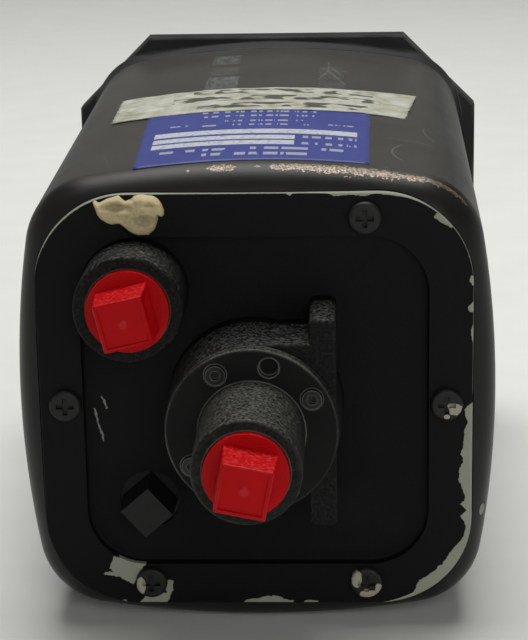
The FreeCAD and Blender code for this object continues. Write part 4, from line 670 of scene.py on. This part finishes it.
# Upward faces of the raised parts lighten where the grit is: partly dust, partly painted top light.
dust_and_top_light = joined(tree, "MULTIPLY", upward_dust_and_light(tree, 0.25, 0.95, 0.45), joined(tree, "MULTIPLY", raised, grit))
coat = add(tree, "MixRGB", {"Fac": dust_and_top_light, "Color1": coat, "Color2": "#76756c"})
# Raised edges are lightened grey: partly rubbed paint, partly a painted highlight along the fillets.
edge = sharp_edge_mask(tree, 0.4 * MM, 0.98, 0.88)
rubbed_and_highlit_edges = joined(tree, "MULTIPLY", joined(tree, "MULTIPLY", edge, raised), cloud)
coat = add(tree, "MixRGB", {"Fac": rubbed_and_highlit_edges, "Color1": coat, "Color2": "#75766f"})
primer = add(tree, "MixRGB", {"Fac": cloud, "Color1": "#7f8274", "Color2": "#9a9d8e"})
coat = add(tree, "MixRGB", {"Fac": chips, "Color1": coat, "Color2": primer})
relief = add(tree, "Math", {0: chips, 1: -0.9, 2: 0.95}, operation="MULTIPLY_ADD")
relief = add(tree, "Math", {0: sand, 1: 0.30, 2: relief}, operation="MULTIPLY_ADD")
feed(shader, {"Base Color": coat,
              "Roughness": add(tree, "MapRange", {"Value": cloud, "To Min": 0.5, "To Max": 0.72}),
              "Normal": add(tree, "Bump", {"Height": relief, "Distance": 0.16 * MM})})
dress(["rear_cover"], cover_paint)

# Pan-head cross-recess screws, painted over with the cover; the paint has come off two of them in flakes.
screw_paint, tree, shader, where = start_finish("painted_steel_screw", "#1c1d1c", Roughness=0.5, IOR=1.45,
                                              Specular_IOR_Level=0.3)
flake = add(tree, "TexNoise", {"Vector": where, "Scale": 900.0, "Detail": 3.0})
chipped = joined(tree, "MAXIMUM", *(
    patch(tree, where, (at_x, 123.2, at_z), (half_x, 3.0, half_z), flake, rough)
    for at_x, at_z, half_x, half_z, rough in (
        (-33.7, -0.6, 1.2, 1.0, 0.4), (-32.4, -2.0, 0.5, 0.4, 0.4), (20.5, -33.0, 0.8, 1.6, 0.4),
        (-17.0, -31.8, 0.9, 1.5, 0.4), (-19.2, -34.6, 1.8, 0.8, 0.3), (-20.8, -33.6, 0.6, 1.0, 0.3))))
coat = add(tree, "MixRGB", {"Fac": flake, "Color1": "#0f100f", "Color2": "#20211f"})
coat = add(tree, "MixRGB", {"Fac": chipped, "Color1": coat, "Color2": "#9a9586"})
feed(shader, {"Base Color": coat, "Normal": add(tree, "Bump", {"Height": flake, "Distance": 0.08 * MM})})
dress(["cover_screws"], screw_paint)


# --- inlet cap ---
# Machined aluminium cap with the inlet tube, painted like the cover but smoother; four small socket
# screws hold it over the filter. A dimple marks the way round that it goes on.
cap_paint, tree, shader, where = start_finish("satin_black_paint_on_machined_cap", "#0a0b0a", Roughness=0.5,
                                              IOR=1.42, Specular_IOR_Level=0.15)
cloud = add(tree, "TexNoise", {"Vector": where, "Scale": 150.0, "Detail": 5.0})
fine = add(tree, "TexNoise", {"Vector": where, "Scale": 2100.0, "Detail": 3.0})
# Edges are lightened grey: partly rubbed paint, partly a painted highlight along the rims.
edge = sharp_edge_mask(tree, 0.5 * MM, 0.99, 0.9)
rubbed_and_highlit_edges = joined(tree, "MULTIPLY", joined(tree, "MULTIPLY", edge, cloud), 1.3)
coat = add(tree, "MixRGB", {"Fac": cloud, "Color1": "#0a0b0a", "Color2": "#141513"})
parts = add(tree, "SeparateXYZ", {0: where})
tube_from = 136.8 * MM  # the grit shows on the tube, clear of the cap's face
on_tube = add(tree, "Math", {0: parts.outputs["Y"], 1: tube_from}, operation="GREATER_THAN")
grit = add(tree, "MapRange", {"Value": fine, "From Min": 0.4, "From Max": 0.7})
coat = add(tree, "MixRGB", {"Fac": joined(tree, "MULTIPLY", joined(tree, "MULTIPLY", grit, on_tube), 0.45),
                            "Color1": coat, "Color2": "#34352f"})
# Upward faces lighten where the grit is: partly dust, partly painted top light.
dust_and_top_light = joined(tree, "MULTIPLY", upward_dust_and_light(tree, 0.25, 0.95, 0.42), grit)
coat = add(tree, "MixRGB", {"Fac": dust_and_top_light, "Color1": coat, "Color2": "#7d7c72"})
coat = add(tree, "MixRGB", {"Fac": rubbed_and_highlit_edges, "Color1": coat, "Color2": "#7b7d76"})
feed(shader, {"Base Color": coat, "Normal": add(tree, "Bump", {"Height": fine, "Distance": 0.04 * MM})})
dress(["inlet_cap"], cap_paint)

# Alloy steel socket screws in black oxide, with a pale line round the rim of the head: partly worn bright, partly
# a painted highlight.
socket_steel, tree, shader, where = start_finish("black_oxide_alloy_steel", "#101110", Roughness=0.4,
                                                 Metallic=0.3)
edge = sharp_edge_mask(tree, 0.3 * MM, 0.99, 0.85)
rub = add(tree, "TexNoise", {"Vector": where, "Scale": 800.0, "Detail": 3.0})
tone = add(tree, "MixRGB", {"Fac": joined(tree, "MULTIPLY", edge, 0.3), "Color1": "#0e0f0e", "Color2": "#b4b2a8"})
feed(shader, {"Base Color": tone,
              "Roughness": add(tree, "MapRange", {"Value": rub, "To Min": 0.25, "To Max": 0.5})})
dress(["cap_screws"], socket_steel)


# --- plugs ---
# Red transit plugs, injection-moulded in polyethylene with a square head and a gate mark in its
# sunk face, are screwed into both ports. The drain is closed by a black iron square-head plug.
red_plastic, tree, shader, where = start_finish("moulded_polyethylene", "#b80d14", Roughness=0.3, IOR=1.42,
                                                Specular_IOR_Level=0.12)
flow = add(tree, "TexNoise", {"Vector": where, "Scale": 330.0, "Detail": 5.0, "Roughness": 0.6})
fine = add(tree, "TexNoise", {"Vector": where, "Scale": 1700.0, "Detail": 3.0})
gates = []
for plug_name in ("inlet_plug", "outlet_plug"):
    low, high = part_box(plug_name)
    gate = Vector(((low.x + high.x) / 2, high.y - 0.3 * MM, (low.z + high.z) / 2))
    away = add(tree, "VectorMath", {0: where, 1: gate}, operation="DISTANCE")
    gates.append(add(tree, "MapRange", {"Value": away, "From Min": 0.9 * MM, "From Max": 0.5 * MM}))
gate_mark = joined(tree, "MAXIMUM", *gates)
tone = add(tree, "MixRGB", {"Fac": flow, "Color1": "#a00308", "Color2": "#b3070d"})
tone = add(tree, "MixRGB", {"Fac": joined(tree, "MULTIPLY", gate_mark, 0.25), "Color1": tone,
                            "Color2": "#c4424a"})
grit = add(tree, "MapRange", {"Value": fine, "From Min": 0.45, "From Max": 0.7})
# The top faces turn a paler red: painted top light, with some dust.
dust_and_top_light = joined(tree, "MULTIPLY", upward_dust_and_light(tree, 0.4, 1.0, 0.5), grit)
tone = add(tree, "MixRGB", {"Fac": dust_and_top_light, "Color1": tone, "Color2": "#c9474a"})
skin = add(tree, "Math", {0: fine, 1: 0.25, 2: flow}, operation="MULTIPLY_ADD")
skin = add(tree, "Math", {0: gate_mark, 1: 1.2, 2: skin}, operation="MULTIPLY_ADD")
feed(shader, {"Base Color": tone,
              "Roughness": add(tree, "MapRange", {"Value": flow, "To Min": 0.22, "To Max": 0.45}),
              "Normal": add(tree, "Bump", {"Height": skin, "Distance": 0.12 * MM})})
dress(["inlet_plug", "outlet_plug"], red_plastic, 38.0)

# Blackened malleable iron: dull, pitted, dark.
iron, tree, shader, where = start_finish("blackened_malleable_iron", "#0e0e0e", Roughness=0.55,
                                       Specular_IOR_Level=0.3)
pits = mottled(tree, shader, where, 700.0, 4.0, "#070707", "#131312")
feed(shader, {"Normal": add(tree, "Bump", {"Height": pits, "Distance": 0.1 * MM})})
dress(["drain_plug"], iron)


# --- sealing putty ---
# A dab of anti-tamper putty thumbed over the upper left screw: cream, dry and lumpy, darker in
# its folds. It is one pat about 12 mm wide and 2 mm high, with humps where the thumb pressed it.
def putty_dab():
    """A pat pressed out to its outline: a grid cut to shape, its rim drawn onto the outline, then raised."""
    outline = [Vector(at) for at in (
        (26.32, 35.43), (25.63, 33.37), (25.02, 32.62), (24.13, 32.05), (23.23, 31.66), (21.94, 31.83),
        (21.23, 31.3), (20.52, 30.6), (19.71, 30.1), (18.9, 29.8), (17.07, 29.9), (16.04, 30.9), (15.6, 32.2),
        (15.43, 33.2), (14.9, 32.95), (14.52, 33.2), (14.46, 34.03), (14.91, 35.34), (15.52, 36.09),
        (16.23, 36.5), (18.04, 36.7), (18.95, 36.65), (19.41, 36.5), (19.88, 36.05), (20.89, 35.7),
        (21.34, 36.0), (21.95, 36.6), (22.78, 36.43), (23.97, 36.07), (25.27, 35.43), (25.98, 35.85))]
    sides = list(zip(outline, outline[1:] + outline[:1]))

    def nearest(point):
        """The closest point of the outline, and whether the point lies inside it."""
        best, inside = None, False
        for first, second in sides:
            run = second - first
            share = max(0.0, min(1.0, (point - first).dot(run) / run.length_squared))
            spot = first + run * share
            if best is None or (spot - point).length < (best - point).length:
                best = spot
            if (first.y > point.y) != (second.y > point.y) and \
                    point.x < first.x + run.x * (point.y - first.y) / run.y:
                inside = not inside
        return best, inside

    step = 0.15
    bm = bmesh.new()
    spread = Matrix.Translation((20.4, 33.2, 0.0)) @ Matrix.Diagonal((42 * step, 25 * step, 1.0, 1.0))
    bmesh.ops.create_grid(bm, x_segments=84, y_segments=50, size=1.0, matrix=spread)
    rim = {}
    for v in bm.verts:
        spot, inside = nearest(v.co.xy)
        rim[v] = (spot - v.co.xy).length * (1 if inside else -1)
        if rim[v] < 0.45 * step:
            v.co.xy = spot if rim[v] > -0.75 * step else v.co.xy
    bmesh.ops.delete(bm, geom=[v for v in bm.verts if rim[v] <= -0.75 * step], context="VERTS")
    humps = ((17.4, 34.0, 2.3, 1.9, 0.75), (18.6, 31.6, 1.6, 1.1, 0.35), (23.9, 32.9, 1.7, 0.9, 0.25),
             (22.3, 34.9, 1.9, 0.62, -1.15), (21.2, 33.9, 1.3, 0.30, 0.22), (24.8, 34.9, 0.8, 0.6, -0.25),
             (17.6, 32.9, 0.9, 0.6, -0.30), (16.9, 35.2, 1.0, 0.35, -0.30), (19.6, 35.1, 0.5, 0.8, 0.15))
    for v in bm.verts:
        x, z = v.co.xy
        depth = max(0.0, rim[v])
        shoulder = math.sqrt(1.0 - (1.0 - min(depth / 0.75, 1.0)) ** 2)
        rise = 1.95 + sum(size * math.exp(-((x - hx) / wide) ** 2 - ((z - hz) / tall) ** 2)
                          for hx, hz, wide, tall, size in humps)
        rise += 0.16 * noise.fractal(Vector((x, z, 0.0)) * 0.8, 0.9, 2.1, 4)
        v.co = Vector((x * MM, border_y + (0.12 + shoulder * rise) * MM, z * MM))
    grown = bmesh.ops.extrude_edge_only(bm, edges=[e for e in bm.edges if e.is_boundary])["geom"]
    for v in grown:
        if isinstance(v, bmesh.types.BMVert):
            v.co.y = border_y + 0.01 * MM
    bmesh.ops.holes_fill(bm, edges=[e for e in bm.edges if e.is_boundary], sides=0)
    bmesh.ops.remove_doubles(bm, verts=bm.verts, dist=0.002 * MM)
    bmesh.ops.recalc_face_normals(bm, faces=bm.faces)
    return bm


# Dried glazing putty: chalky cream, darker grey in the hollows.
putty_paint, tree, shader, where = start_finish("dried_sealing_putty", "#b3a583", Roughness=0.75, IOR=1.45)
hollow = add(tree, "NewGeometry").outputs["Pointiness"]
in_hollows = add(tree, "MapRange", {"Value": hollow, "From Min": 0.52, "From Max": 0.44})
cloud = add(tree, "TexNoise", {"Vector": where, "Scale": 380.0, "Detail": 5.0})
crumb = add(tree, "TexNoise", {"Vector": where, "Scale": 2000.0, "Detail": 4.0})
tone = add(tree, "MixRGB", {"Fac": cloud, "Color1": "#a3936c", "Color2": "#cbbd94"})
darker_in_hollows = joined(tree, "MULTIPLY", joined(tree, "MULTIPLY", in_hollows, cloud), 1.2)
tone = add(tree, "MixRGB", {"Fac": darker_in_hollows, "Color1": tone, "Color2": "#5b5444"})
thumbed = patch(tree, where, (17.7, 124.0, 32.8), (1.7, 3.0, 1.1), cloud, 0.8)
tone = add(tree, "MixRGB", {"Fac": joined(tree, "MULTIPLY", thumbed, 0.35), "Color1": tone, "Color2": "#5b5444"})
feed(shader, {"Base Color": tone, "Normal": add(tree, "Bump", {"Height": crumb, "Distance": 0.06 * MM})})
putty = new_piece("putty_dab", putty_dab(), putty_paint)
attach(putty, "case")
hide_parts("seal_putty")
